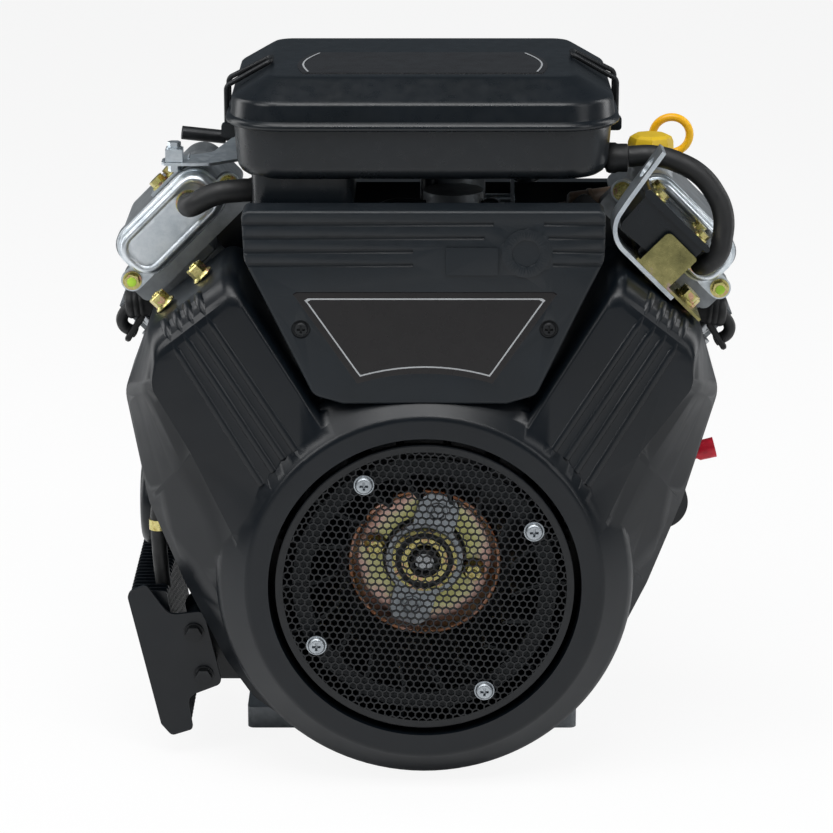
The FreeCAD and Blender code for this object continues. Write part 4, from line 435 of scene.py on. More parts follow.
def lathe(built, base, axis, profile, steps=32):
    """A turned form from (radius, height) points in mm, about an axis through base."""
    turn = Vector(axis).to_track_quat("Z", "Y").to_matrix()
    skin(built, [[base + turn @ mm(r * c, r * s, h) for c, s in circle(steps)] for r, h in profile])


def smooth_path(points, steps=8):
    """Points along a curve that runs through every given point."""
    ends = [points[0] * 2 - points[1], *points, points[-1] * 2 - points[-2]]
    path = []
    for a, b, c, d in zip(ends, ends[1:], ends[2:], ends[3:]):
        for step in range(steps):
            u = step / steps
            path.append(0.5 * (2 * b + (c - a) * u + (2 * a - 5 * b + 4 * c - d) * u * u
                               + (3 * b - a - 3 * c + d) * u ** 3))
    return [*path, points[-1]]


def tube(built, points, radius, sides=16):
    """A round tube of radius mm along a smooth path through points."""
    path = smooth_path([Vector(p) for p in points])
    across = (path[1] - path[0]).orthogonal().normalized()
    rows = []
    for k, point in enumerate(path):
        along = (path[min(k + 1, len(path) - 1)] - path[max(k - 1, 0)]).normalized()
        across = (across - along * across.dot(along)).normalized()
        up = along.cross(across)
        rows.append([point + (across * c + up * s) * radius * MM for c, s in circle(sides)])
    skin(built, rows)


def rounded_rectangle(low, high, corner, steps=10):
    """Points round a rectangle with round corners, in mm, anticlockwise from its lower right corner."""
    points = []
    for k, (sx, sy) in enumerate(((1, -1), (1, 1), (-1, 1), (-1, -1))):
        x = (high[0] if sx > 0 else low[0]) - sx * corner
        y = (high[1] if sy > 0 else low[1]) - sy * corner
        for step in range(steps + 1):
            angle = math.pi / 2 * (k - 1 + step / steps)
            points.append((x + corner * math.cos(angle), y + corner * math.sin(angle)))
    return points


def plain_mesh(name, build, seam_mm=None):
    """A closed mesh made with build(bmesh), its points merged within seam_mm."""
    built = bmesh.new()
    build(built)
    if seam_mm:
        bmesh.ops.remove_doubles(built, verts=built.verts, dist=seam_mm * MM)
    bmesh.ops.recalc_face_normals(built, faces=built.faces)
    mesh = bpy.data.meshes.new(name)
    built.to_mesh(mesh)
    built.free()
    return mesh


def formed(name, finish_name, body, build, smooth=35.0, nodes=()):
    """Builds a mesh with build(bmesh), closes its seams and makes it a piece that rides on a body."""
    return settle_piece(name, plain_mesh(name, build, 0.002), finish_name, body, smooth, nodes)


def hung(piece, body, nodes=()):
    """Hangs a piece on its body and hides the CAD nodes that it replaces."""
    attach(piece, body)
    if nodes:
        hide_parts(*nodes)
    return piece


def settle_piece(name, mesh, finish_name, body, smooth=35.0, nodes=()):
    """Shades a mesh smooth up to an angle, its large faces flat, and hangs it on its body."""
    mesh.shade_smooth()
    mesh.set_sharp_from_angle(angle=math.radians(smooth))
    holder = linked(name, mesh)
    weighted = holder.modifiers.new("weighted", "WEIGHTED_NORMAL")
    weighted.keep_sharp = True
    return hung(new_piece(name, settled(holder), finish_name), body, nodes)


def merged_copy(built, node):
    """A CAD node's faces with their seams closed."""
    built.from_mesh(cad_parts[node].data)
    bmesh.ops.remove_doubles(built, verts=built.verts, dist=0.01 * MM)


def repeated(name, places, shape, finish_name, body, nodes=()):
    """Copies of a shape on (point, axis) places, made by a geometry tree."""
    points = bpy.data.meshes.new(name + "_places")
    points.from_pydata([place for place, axis in places], [], [])
    axes = points.attributes.new("axis", "FLOAT_VECTOR", "POINT")
    axes.data.foreach_set("vector", [c for place, axis in places for c in axis])
    pattern = bpy.data.objects.new(name + "_shape", shape)
    tree, given = new_tree(name, [
        ("Shape", "NodeSocketObject", None), ("Finish", "NodeSocketMaterial", None)])
    axis = add(tree, "GeometryNodeInputNamedAttribute", {"Name": "axis"}, data_type="FLOAT_VECTOR")
    turn = add(tree, "FunctionNodeAlignRotationToVector", {"Vector": axis.outputs["Attribute"]}, axis="Z")
    info = add(tree, "GeometryNodeObjectInfo", {"Object": given.outputs["Shape"]})
    copies = add(tree, "GeometryNodeInstanceOnPoints", {
        "Points": given.outputs["Geometry"], "Instance": info.outputs["Geometry"],
        "Rotation": turn.outputs["Rotation"]})
    close_tree(tree, copies.outputs[0], given.outputs["Finish"])
    mesh = run_tree(tree, name + "_mesh", {"Shape": pattern, "Finish": finish(finish_name)}, points)
    bpy.data.objects.remove(pattern)
    return settle_piece(name, mesh, finish_name, body, 30.0, nodes)


def carved(solid, cutter):
    """A mesh with another mesh's volume taken away."""
    holder, knife = linked("carved", solid), linked("knife", cutter)
    modifier = holder.modifiers.new("cut", "BOOLEAN")
    modifier.operation = "DIFFERENCE"
    modifier.object = knife
    mesh = settled(holder)
    bpy.data.objects.remove(knife)
    return mesh


# ---------------------------------------------------------------- sizes and colours
def length(name, description, size_mm):
    """A length in the sidebar."""
    return FloatProperty(name=name, description=description, default=size_mm * MM, unit="LENGTH")


class EngineSizes(bpy.types.PropertyGroup):
    """Sizes of the formed pieces."""

    screen_pitch: length("Screen pitch", "Distance between neighbouring holes of the screen", 5.3)
    screen_web: length("Screen web", "Width of the web between two holes", 0.95)
    screen_radius: length("Screen radius", "Radius of the perforated disc", 103.6)
    screen_thickness: length("Screen thickness", "Thickness of the perforated disc", 1.8)
    screen_turn: FloatProperty(
        name="Screen turn", description="How far the rows of holes are turned",
        default=math.radians(4), subtype="ANGLE")


def sizes():
    """The scene's own size group."""
    return bpy.context.scene.engine_sizes


# ---------------------------------------------------------------- operators
class ENGINE_OT_nodes(bpy.types.Operator):
    """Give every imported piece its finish"""

    bl_idname = "engine.nodes"
    bl_label = "Finish the packed pieces"

    def execute(self, context):
        for name, nodes in NODE_FINISH.items():
            for node in nodes.split():
                dress(node, name)
        return {"FINISHED"}


def honeycomb_cell(pitch, web, thickness):
    """One cell of the screen: a hexagon with a hexagonal hole, front, back and bore."""
    outer, inner = pitch / math.sqrt(3), (pitch - web) / math.sqrt(3)
    rows = [[Vector((radius * c, depth, radius * s)) for c, s in circle(6, math.radians(30))]
            for radius, depth in ((outer, 0), (inner, 0), (inner, thickness), (outer, thickness))]
    return plain_mesh("screen_cell", lambda b: skin(b, rows, caps=False))


class ENGINE_OT_screen(bpy.types.Operator):
    """Add the perforated rotating screen"""

    bl_idname = "engine.screen"
    bl_label = "Rotating screen"

    def execute(self, context):
        size = sizes()
        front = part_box("rotating_screen")[0].y
        cell = bpy.data.objects.new("screen_cell", honeycomb_cell(
            size.screen_pitch, size.screen_web, size.screen_thickness))
        tree, given = new_tree("Perforated disc", [
            ("Cell", "NodeSocketObject", None), ("Pitch", "NodeSocketFloat", 0.005),
            ("Radius", "NodeSocketFloat", 0.1), ("Finish", "NodeSocketMaterial", None)])
        given = given.outputs

        def sum_of(operation, a, b=0.0):
            return math_node(tree, operation, a, b)

        rows = sum_of("MULTIPLY", given["Pitch"], math.sqrt(3) / 2)
        reach = sum_of("MULTIPLY", given["Radius"], 2.2)
        across = sum_of("CEIL", sum_of("DIVIDE", reach, given["Pitch"]))
        up = sum_of("CEIL", sum_of("DIVIDE", reach, rows))
        width = sum_of("MULTIPLY", sum_of("SUBTRACT", across, 1.0), given["Pitch"])
        height = sum_of("MULTIPLY", sum_of("SUBTRACT", up, 1.0), rows)
        grid = add(tree, "GeometryNodeMeshGrid", {
            "Size X": width, "Size Y": height, "Vertices X": across, "Vertices Y": up})
        where = add(tree, "ShaderNodeSeparateXYZ", {0: add(tree, "GeometryNodeInputPosition").outputs[0]})
        above = sum_of("ADD", where.outputs["Y"], sum_of("MULTIPLY", height, 0.5))
        row = sum_of("ROUND", sum_of("DIVIDE", above, rows))
        odd = sum_of("MODULO", row, 2.0)
        shift = sum_of("MULTIPLY", sum_of("MULTIPLY", odd, given["Pitch"]), 0.5)
        flat = add(tree, "ShaderNodeCombineXYZ", {
            "X": sum_of("ADD", where.outputs["X"], shift), "Z": where.outputs["Y"]})
        moved = add(tree, "GeometryNodeSetPosition", {
            "Geometry": grid.outputs["Mesh"], "Position": flat.outputs[0]})
        length = add(tree, "ShaderNodeVectorMath", {
            0: add(tree, "GeometryNodeInputPosition").outputs[0]}, operation="LENGTH")
        edge = sum_of("SUBTRACT", given["Radius"], sum_of("MULTIPLY", given["Pitch"], 0.62))
        outside = add(tree, "FunctionNodeCompare", {0: length.outputs["Value"], 1: edge},
                      operation="GREATER_THAN")
        kept = add(tree, "GeometryNodeDeleteGeometry", {
            "Geometry": moved.outputs[0], "Selection": outside.outputs[0]})
        shape = add(tree, "GeometryNodeObjectInfo", {"Object": given["Cell"]})
        cells = add(tree, "GeometryNodeInstanceOnPoints", {
            "Points": kept.outputs[0], "Instance": shape.outputs["Geometry"]})
        close_tree(tree, cells.outputs[0], given["Finish"])
        mesh = run_tree(tree, "rotating_screen_mesh", {
            "Cell": cell, "Pitch": size.screen_pitch, "Radius": size.screen_radius,
            "Finish": finish("screen_polyamide")})
        bpy.data.objects.remove(cell)
        built = bmesh.new()
        built.from_mesh(mesh)
        bmesh.ops.remove_doubles(built, verts=built.verts, dist=0.02 * MM)
        add_screen_rim(built, size)
        bmesh.ops.rotate(built, verts=built.verts, cent=(0, 0, 0),
                         matrix=Matrix.Rotation(size.screen_turn, 3, "Y"))
        bmesh.ops.translate(built, verts=built.verts, vec=(0, front, 0))
        built.to_mesh(mesh)
        built.free()
        hung(new_piece("screen_mesh", mesh, "screen_polyamide"), "crank",
             ["rotating_screen"])
        return {"FINISHED"}


def add_screen_rim(built, size):
    """The screen's solid rim with its turned-back edge."""
    edge = size.screen_radius
    thick = size.screen_thickness
    turned_ring(built, [(edge - 5.2 * MM, 0.1 * MM), (edge - 1.0 * MM, 0.0), (edge - 0.2 * MM, 0.3 * MM),
                        (edge, 1.0 * MM), (edge, 6.0 * MM), (edge - thick, 6.0 * MM),
                        (edge - thick, thick), (edge - 5.2 * MM, thick)], 180)


def turned_ring(built, profile, steps):
    """A closed ring about Y from (radius, y) points, run so that faces point outwards."""
    rings = [[built.verts.new((r * c, y, r * s)) for r, y in profile] for c, s in circle(steps)]
    made = []
    for near, far in zip(rings, rings[1:] + rings[:1]):
        for k in range(len(profile)):
            j = (k + 1) % len(profile)
            made.append(built.faces.new((near[k], near[j], far[j], far[k])))
    bmesh.ops.recalc_face_normals(built, faces=made)


# ---------------------------------------------------------------- air cleaner
LID_PROFILE = [
    (1.6, 316.4), (-0.6, 316.6), (-2.0, 317.6), (-2.4, 319.2), (-1.8, 320.8), (-0.4, 321.9),
    (0.9, 322.6), (1.2, 324.5), (1.9, 332.6), (2.4, 334.2), (3.6, 335.4), (5.4, 336.4), (22.5, 346.4),
    (24.6, 347.6), (26.6, 348.6), (29.0, 348.9), (33.0, 349.0),
]
TUB_PROFILE = [
    (3.2, 318.0), (3.4, 312.0), (5.0, 291.0), (6.0, 287.0), (8.0, 283.8), (11.0, 281.8), (15.0, 281.0),
    (22.0, 280.8),
]
CHAMBER_PROFILE = [(0.0, 284.0), (0.3, 262.0), (1.4, 259.4), (4.0, 258.0), (9.0, 257.6)]


def stacked(built, low, high, corner, profile):
    """Rounded rectangles stacked up: (inset, height) points in mm."""
    rows = []
    for inset, height in profile:
        near = (low[0] + inset, low[1] + inset)
        far = (high[0] - inset, high[1] - inset)
        outline = rounded_rectangle(near, far, max(corner - inset, 3.0), 12)
        rows.append([mm(x, y, height) for x, y in outline])
    skin(built, rows)


def cleaner_plan():
    """Lowest and highest X and Y of the air cleaner's lid, in mm."""
    low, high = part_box("air_cleaner_cover")
    return (low.x / MM, low.y / MM), (high.x / MM, high.y / MM)


def label_outline(inset):
    """The lid label's outline, in mm: straight front and back, ends that bow outwards."""
    low, high = cleaner_plan()
    middle = (low[0] + high[0]) / 2
    front, back = low[1] + 38 + inset, low[1] + 118 - inset
    points = []
    for sign, start, end in ((1, front, back), (-1, back, front)):
        for step in range(13):
            share = step / 12
            half = 82.0 - 6.0 * (share if sign > 0 else 1 - share) - inset
            swell = 7.0 * math.sin(math.pi * share)
            points.append((middle + sign * (half + swell), start + (end - start) * share))
    return points


class ENGINE_OT_cleaner(bpy.types.Operator):
    """Add the air cleaner's pressed lid, its tub and the bare labels"""

    bl_idname = "engine.cleaner"
    bl_label = "Air cleaner"

    def execute(self, context):
        low, high = cleaner_plan()
        formed("air_cleaner_lid", "moulded_polypropylene", "engine",
               lambda b: stacked(b, low, high, 40.0, LID_PROFILE), 50.0, ["air_cleaner_cover"])
        formed("air_cleaner_tub", "moulded_polypropylene", "engine", self.tub, 50.0,
               ["air_cleaner_base"])
        top = LID_PROFILE[-1][1]
        formed("lid_label", "printed_film", "engine", lambda b: skin(
            b, [[mm(x, y, z) for x, y in label_outline(inset)]
                for inset, z in ((0.0, top - 0.2), (0.2, top + 0.35), (0.5, top + 0.45))]))
        formed("lid_label_line", "printed_line", "engine", self.lines)
        return {"FINISHED"}

    def tub(self, built):
        low, high = cleaner_plan()
        stacked(built, low, high, 40.0, TUB_PROFILE)
        stacked(built, (low[0] + 15.5, low[1] + 13), (low[0] + 86, low[1] + 98), 12.0, CHAMBER_PROFILE)
        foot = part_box("air_cleaner_base")[0].z / MM
        for x in (-70, 70):
            for y in (-190, -70):
                lathe(built, mm(x, y, foot), (0, 0, 1),
                      [(8.2, 0), (9.0, 0.8), (9.0, 9.5)], 28)
        for side, y in (("left", -158), ("right", -133)):
            for end in (-1, 1):
                x = low[0] if side == "left" else high[0]
                self.lug(built, x + side_sign(side) * 1.5, y + end * 21)

    def lug(self, built, x, y):
        """One lug that the wire latch turns in."""
        outline = rounded_rectangle((x - 5, 301), (x + 5, 311), 2.5, 5)
        upright(built, outline, (y - 2.5, y + 2.5))

    def lines(self, built):
        """The thin line near each end of the lid's label."""
        top = (LID_PROFILE[-1][1] + 0.7) * MM
        steps = [*range(12), *range(13, 25)]
        ribbon(built, label_outline(3.5), label_outline(4.7), steps, lambda x, y: (x * MM, y * MM, top))


# ---------------------------------------------------------------- housing and front panel
class ENGINE_OT_housing(bpy.types.Operator):
    """Add the housing and the front panel with their curved faces running on"""

    bl_idname = "engine.housing"
    bl_label = "Blower housing and panel"

    def execute(self, context):
        for name, node, coat, slot, angle in (
                ("housing_shell", "blower_housing", "powder_coated_steel", "black_housing", 32.0),
                ("panel_shell", "front_panel", "grained_nylon", "black_plastic", 30.0)):
            formed(name, coat, "engine", lambda b: merged_copy(b, node), angle, [node])
        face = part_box("panel_plate")[0].y - 0.5 * MM
        formed("name_plate", "printed_film", "engine", lambda b: skin(
            b, [[Vector((x * MM, y, z * MM)) for x, z in plate_outline(inset)]
                for inset, y in ((0.0, face + 1.0 * MM), (0.0, face + 0.2 * MM), (0.5, face))]),
            30.0, ["panel_plate"])
        formed("name_plate_line", "printed_line", "engine", lambda b: self.border(b, face))
        return {"FINISHED"}

    def border(self, built, face):
        """The thin line round the bare name plate."""
        outer, inner = plate_outline(4.2), plate_outline(5.2)
        level = face - 0.12 * MM
        ribbon(built, outer, inner, range(len(outer)), lambda x, z: (x * MM, level, z * MM))


PLATE_HALF, PLATE_FOOT, PLATE_TOP = 90.0, 46.0, 210.0
PLATE_ARC = 153.0             # radius of its foot's arc about the crankshaft


def plate_outline(inset):
    """The name plate's outline, in mm: straight top and sides, and a foot that follows the intake."""
    drop = PLATE_TOP - math.sqrt(PLATE_ARC ** 2 - PLATE_FOOT ** 2)
    side = Vector((PLATE_HALF - PLATE_FOOT, drop)).normalized()
    top, arc = PLATE_TOP - inset, PLATE_ARC + inset
    slip = inset / side.y

    def along(height):
        return PLATE_HALF - slip - (PLATE_TOP - height) * side.x / side.y

    foot = PLATE_FOOT - inset * 0.45
    ends = [math.asin(foot / arc) * (1 - 2 * k / 16) for k in range(17)]
    low = arc * math.cos(ends[0])
    points = [(-along(top) + 3.0, top), (along(top) - 3.0, top), (along(top) - 0.6, top - 1.4),
              (along(top - 3.2), top - 3.2), (along(low + 2.5), low + 2.5)]
    return points + [(arc * math.sin(a), arc * math.cos(a)) for a in ends] + [
        (-along(low + 2.5), low + 2.5), (-along(top - 3.2), top - 3.2), (-along(top) + 0.6, top - 1.4)]


# ---------------------------------------------------------------- cylinder heads
PAN_PROFILE = [
    (-4.0, 0.0), (-4.2, -0.8), (-3.8, -1.6), (-2.8, -1.8), (-2.0, -2.6), (-1.7, -4.0), (-1.2, -9.0),
    (-0.7, -10.8), (0.3, -12.0), (1.6, -12.4), (3.0, -12.1), (4.0, -11.4), (4.8, -11.1), (7.0, -11.0),
]
PAN_T, PAN_ALONG = (0.0, 80.0), (276.0, 308.0)
PAN_SEAT = -62.3
PLUG_AT = (-172.0, -118.0, 171.0)
BOOT_END = (-214.0, -120.0, 166.5)
BOOT_PROFILE = [
    (8.6, 0), (9.4, 1), (9.6, 28), (10.4, 30), (10.5, 31.5), (10.1, 32.4), (10.1, 33.0), (10.5, 33.9),
    (10.6, 35.8), (10.2, 36.6), (10.2, 37.2), (10.6, 38.0), (10.6, 40), (9.6, 42), (7.0, 43.2),
]
LEAD_RUN = [
    (-205, -120, 166.5), (-213.5, -120, 163), (-217.5, -120, 156), (-215.5, -119, 149.5),
    (-208, -117, 145),
]
NUT_PLACES = [(39.6, 255.5), (6.7, 259.5)]   # across and along the cylinder
MARK = [(3.4, 0), (3.3, 0.3), (2.6, 0.5)]
CLIP_ENDS = [(-202.5, -121, 158.5), (-214.0, -121, 140.5)]


class ENGINE_OT_heads(bpy.types.Operator):
    """Add the rocker covers, the flange nuts, the plug boots and the marks on the bolts"""

    bl_idname = "engine.heads"
    bl_label = "Rocker covers and boots"

    def execute(self, context):
        for side in SIDES:
            formed("rocker_pan_" + side, "bright_zinc_plate", "engine",
                   lambda b: self.pan(b, side), 50.0, ["rocker_cover_" + side])
            formed("plug_boot_" + side, "extruded_rubber", "engine",
                   lambda b: self.boot(b, side), 40.0, ["plug_boots"])
        nuts = [(bank_point(side, t, y, along), (side_sign(side), 0, 1))
                for side, y in (("left", -117.0), ("right", -95.0)) for t, along in NUT_PLACES]
        repeated("flange_nuts", nuts, plain_mesh("flange_nut", flange_nut), "yellow_chromate", "engine")
        formed("bolt_marks", "paint_mark", "engine", lambda b: [
            lathe(b, bank_point(side, -10.0, PAN_SEAT - 7.4, 282.0), (0, -1, 0), MARK, 20)
            for side in SIDES])
        return {"FINISHED"}

    def pan(self, built, side):
        """A pressed cover with its flange, rolled bead, ears and hose nipple."""
        rows = []
        for inset, y in PAN_PROFILE:
            outline = rounded_rectangle((PAN_T[0] + inset, PAN_ALONG[0] + inset),
                                        (PAN_T[1] - inset, PAN_ALONG[1] - inset), max(13 - 0.9 * inset, 4.0))
            rows.append([bank_point(side, t, PAN_SEAT + y, along) for t, along in outline])
        skin(built, rows)
        for t, inner in ((-10.0, 8.0), (88.0, 72.0)):
            outline = rounded_rectangle((min(t - 8, inner - 2), 274), (max(t + 8, inner + 2), 290), 7.9, 8)
            skin(built, [[bank_point(side, a, PAN_SEAT + y, b) for a, b in outline]
                         for y in (0.0, -1.2, -1.6)])
        t, along = (62.0, 294.0) if side == "left" else (17.0, 287.0)
        lathe(built, bank_point(side, t, PAN_SEAT - 10.0, along), (0, -1, 0),
              [(8.5, 0), (7.0, 0.8), (5.8, 2.0), (5.6, 10.5), (4.4, 11.0)], 28)

    def boot(self, built, side):
        """A ribbed boot with the elbow of its lead, and the strip of its clip."""
        def placed(point):
            shift = 0.0 if side == "left" else RIGHT_PLANE - LEFT_PLANE
            return mm(-side_sign(side) * point[0], point[1] + shift, point[2])

        start = placed(PLUG_AT)
        lathe(built, start, placed(BOOT_END) - start, BOOT_PROFILE, 36)
        tube(built, [placed(p) for p in LEAD_RUN], 4.3)
        low, high = (placed(p) for p in CLIP_ENDS)
        along = (high - low).normalized()
        across = along.cross(Vector((0, 1, 0)))
        outline = rounded_rectangle((-2.2, -3.5), (2.2, 3.5), 1.2, 4)
        skin(built, [[low + along * d * MM + (across * a * grow + Vector((0, b * grow, 0))) * MM
                      for a, b in outline]
                     for d, grow in ((-1.0, 0.6), (0.0, 1.0), (20.5, 1.0), (22.0, 0.6))])


def flange_nut(built):
    """A hexagon flange nut on its stud, seat at the origin, standing along Z."""
    skin(built, [[mm(r * c, r * s, h) for c, s in circle(6)]
                 for r, h in ((6.5, 1.8), (6.5, 9.4), (5.9, 10.2))])
    lathe(built, Vector(), (0, 0, 1), [(7.9, 0), (8.1, 0.8), (7.7, 1.6), (6.4, 2.8)], 30)
    lathe(built, Vector(), (0, 0, 1), [(3.0, 8.0), (3.0, 10.8), (2.5, 11.4)], 20)


# ---------------------------------------------------------------- screws
SCREW_RING, SCREW_ANGLE = 86.0, 29.0         # radius of the screen's screws in mm, first one in degrees


def cross_recess(built):
    """The tapered cross that a driver sits in, in a head whose seat is at the origin."""
    arm, half = 3.3, 0.95
    corners = [(arm, half), (half, half), (half, arm), (-half, arm), (-half, half), (-arm, half),
               (-arm, -half), (-half, -half), (-half, -arm), (half, -arm), (half, -half), (arm, -half)]
    skin(built, [[mm(x * scale, y * scale, h) for x, y in corners]
                 for scale, h in ((0.72, 0.9), (1.02, 6.0))])


def pan_head(profile):
    """A pan head with its washer and cross recess."""
    head = plain_mesh("pan_head", lambda b: lathe(b, Vector(), (0, 0, 1), profile, 40))
    return carved(head, plain_mesh("cross", cross_recess))


class ENGINE_OT_screws(bpy.types.Operator):
    """Add the cross-recess screws of the screen and of the front panel"""

    bl_idname = "engine.screws"
    bl_label = "Cross-recess screws"

    def execute(self, context):
        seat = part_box("screen_screws")[0].y + 3.2 * MM
        places = [(Vector((SCREW_RING * MM * c, seat, SCREW_RING * MM * s)), (0, -1, 0))
                  for c, s in circle(4, math.radians(SCREW_ANGLE))]
        repeated("screen_screw_heads", places, pan_head([
            (7.0, 0.0), (7.0, 0.8), (6.3, 0.9), (6.2, 1.6), (5.7, 2.9), (4.9, 3.7), (4.0, 4.0)]),
            "dull_zinc", "crank", ["screen_screws"])
        low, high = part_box("panel_screws")
        level = (low.z + high.z) / 2
        places = [(Vector((x, low.y + 2.4 * MM, level)), (0, -1, 0))
                  for x in (low.x + 5.2 * MM, high.x - 5.2 * MM)]
        repeated("panel_screw_heads", places, pan_head([
            (6.2, 0.0), (6.2, 0.5), (5.0, 0.7), (4.9, 1.4), (4.4, 2.3), (3.9, 2.7)]),
            "black_phosphate", "engine", ["panel_screws"])
        return {"FINISHED"}


# ---------------------------------------------------------------- starter cup
CUP_PROFILE = [(30.0, -191.5), (44.0, -191.5), (47.0, -192.6), (48.6, -195.6), (50.4, -203.0), (51.6, -204.4),
               (53.4, -204.6), (54.6, -203.6), (54.6, -202.2), (52.4, -201.0), (50.2, -192.0), (47.6, -189.6),
               (30.0, -189.6)]
PLATE_TURN = 75.0             # of the hub plate's ears, in degrees
PLATE_R, EAR_R, EAR_REACH = 28.0, 16.0, 36.0


def ring_of_rows(built, profile, steps):
    """A closed turned form about the crankshaft from (radius, y) points in mm."""
    turned_ring(built, [(r * MM, y * MM) for r, y in profile], steps)


class ENGINE_OT_cup(bpy.types.Operator):
    """Add the drawn starter cup, its eared plate and the nut on the crankshaft's nose"""

    bl_idname = "engine.cup"
    bl_label = "Starter cup"

    def execute(self, context):
        formed("starter_cup_drawn", "iridescent_chromate", "crank",
               lambda b: ring_of_rows(b, CUP_PROFILE, 96), 40.0, ["starter_cup"])
        formed("hub_plate_eared", "dull_zinc", "crank", self.plate, 40.0, ["hub_plate"])
        formed("hub_rings", "banded_washer", "crank", lambda b: [
            ring_of_rows(b, [(12.0, -199.0), (16.4, -199.0), (16.4, -202.2), (12.0, -202.2)], 48),
            ring_of_rows(b, [(20.6, -198.0), (23.4, -198.0), (23.0, -201.0), (20.6, -201.4)], 48)], 30.0)
        formed("nose_nut", "black_phosphate", "crank", self.nut, 30.0, ["flywheel_nut"])
        studs = [(mm(EAR_REACH * c, -192.0, EAR_REACH * s), (0, -1, 0))
                 for c, s in circle(2, math.radians(PLATE_TURN + 90))]
        repeated("cup_nuts", studs, plain_mesh("cup_nut", flange_nut), "yellow_chromate", "crank")
        return {"FINISHED"}

    def plate(self, built):
        """A waisted flat plate with a holed ear at each end."""
        def edge(angle, shrink):
            across = EAR_REACH * abs(math.sin(angle))
            if across >= EAR_R:
                return PLATE_R - shrink
            ear = EAR_REACH * abs(math.cos(angle)) + math.sqrt(EAR_R ** 2 - across ** 2)
            return max(ear, PLATE_R) - shrink

        def row(shrink, y):
            points = []
            for k in range(96):
                angle = 2 * math.pi * k / 96
                r = sum(edge(angle + math.radians(d), shrink) for d in (-5, -2.5, 0, 2.5, 5)) / 5
                turn = angle + math.radians(PLATE_TURN)
                points.append(mm(r * math.cos(turn), y, r * math.sin(turn)))
            return points

        skin(built, [row(0.0, -193.0), row(0.0, -197.4), row(0.8, -198.2)])
        for c, s in circle(2, math.radians(PLATE_TURN + 180)):
            lathe(built, mm(EAR_REACH * c, -198.0, EAR_REACH * s), (0, -1, 0),
                  [(7.4, 0), (7.0, 1.6), (5.0, 1.8), (4.2, 1.2), (4.0, 0.4)], 28)

    def nut(self, built):
        """The nut's castellated rim about the hollow end of the shaft."""
        ring_of_rows(built, [(16.6, -198.0), (20.4, -198.0), (20.4, -200.6), (16.6, -200.9)], 48)
        ring_of_rows(built, [(6.6, -199.0), (11.6, -199.0), (11.2, -206.6), (9.8, -207.6), (7.4, -207.4),
                             (6.6, -206.4)], 48)
        for c, s in circle(8):
            lathe(built, mm(9.0 * c, -207.0, 9.0 * s), (0, -1, 0), [(1.7, 0), (1.5, 1.2)], 10)


# ---------------------------------------------------------------- the valley between the cylinders
VENT_FITTING = (112, -187, 288)
VENT_FITTING_PROFILE = [
    (7.0, 0), (7.0, 12), (9.6, 13), (10.6, 15), (10.6, 19), (9.8, 20.5), (9.8, 27), (8.6, 28),
]
OIL_LINE = [(-188, -170, -30), (-190, -172, 0), (-190, -172, 30), (-182, -165, 55), (-165, -150, 68)]
OIL_LINE_R = 5.6
OIL_CLAMP = (-190.4, -172, 14)
OIL_CLAMP_PROFILE = [(5.7, 0), (6.7, 0.2), (6.7, 7.6), (5.7, 7.8)]
TERMINAL_TIP = (217, -60, 41)


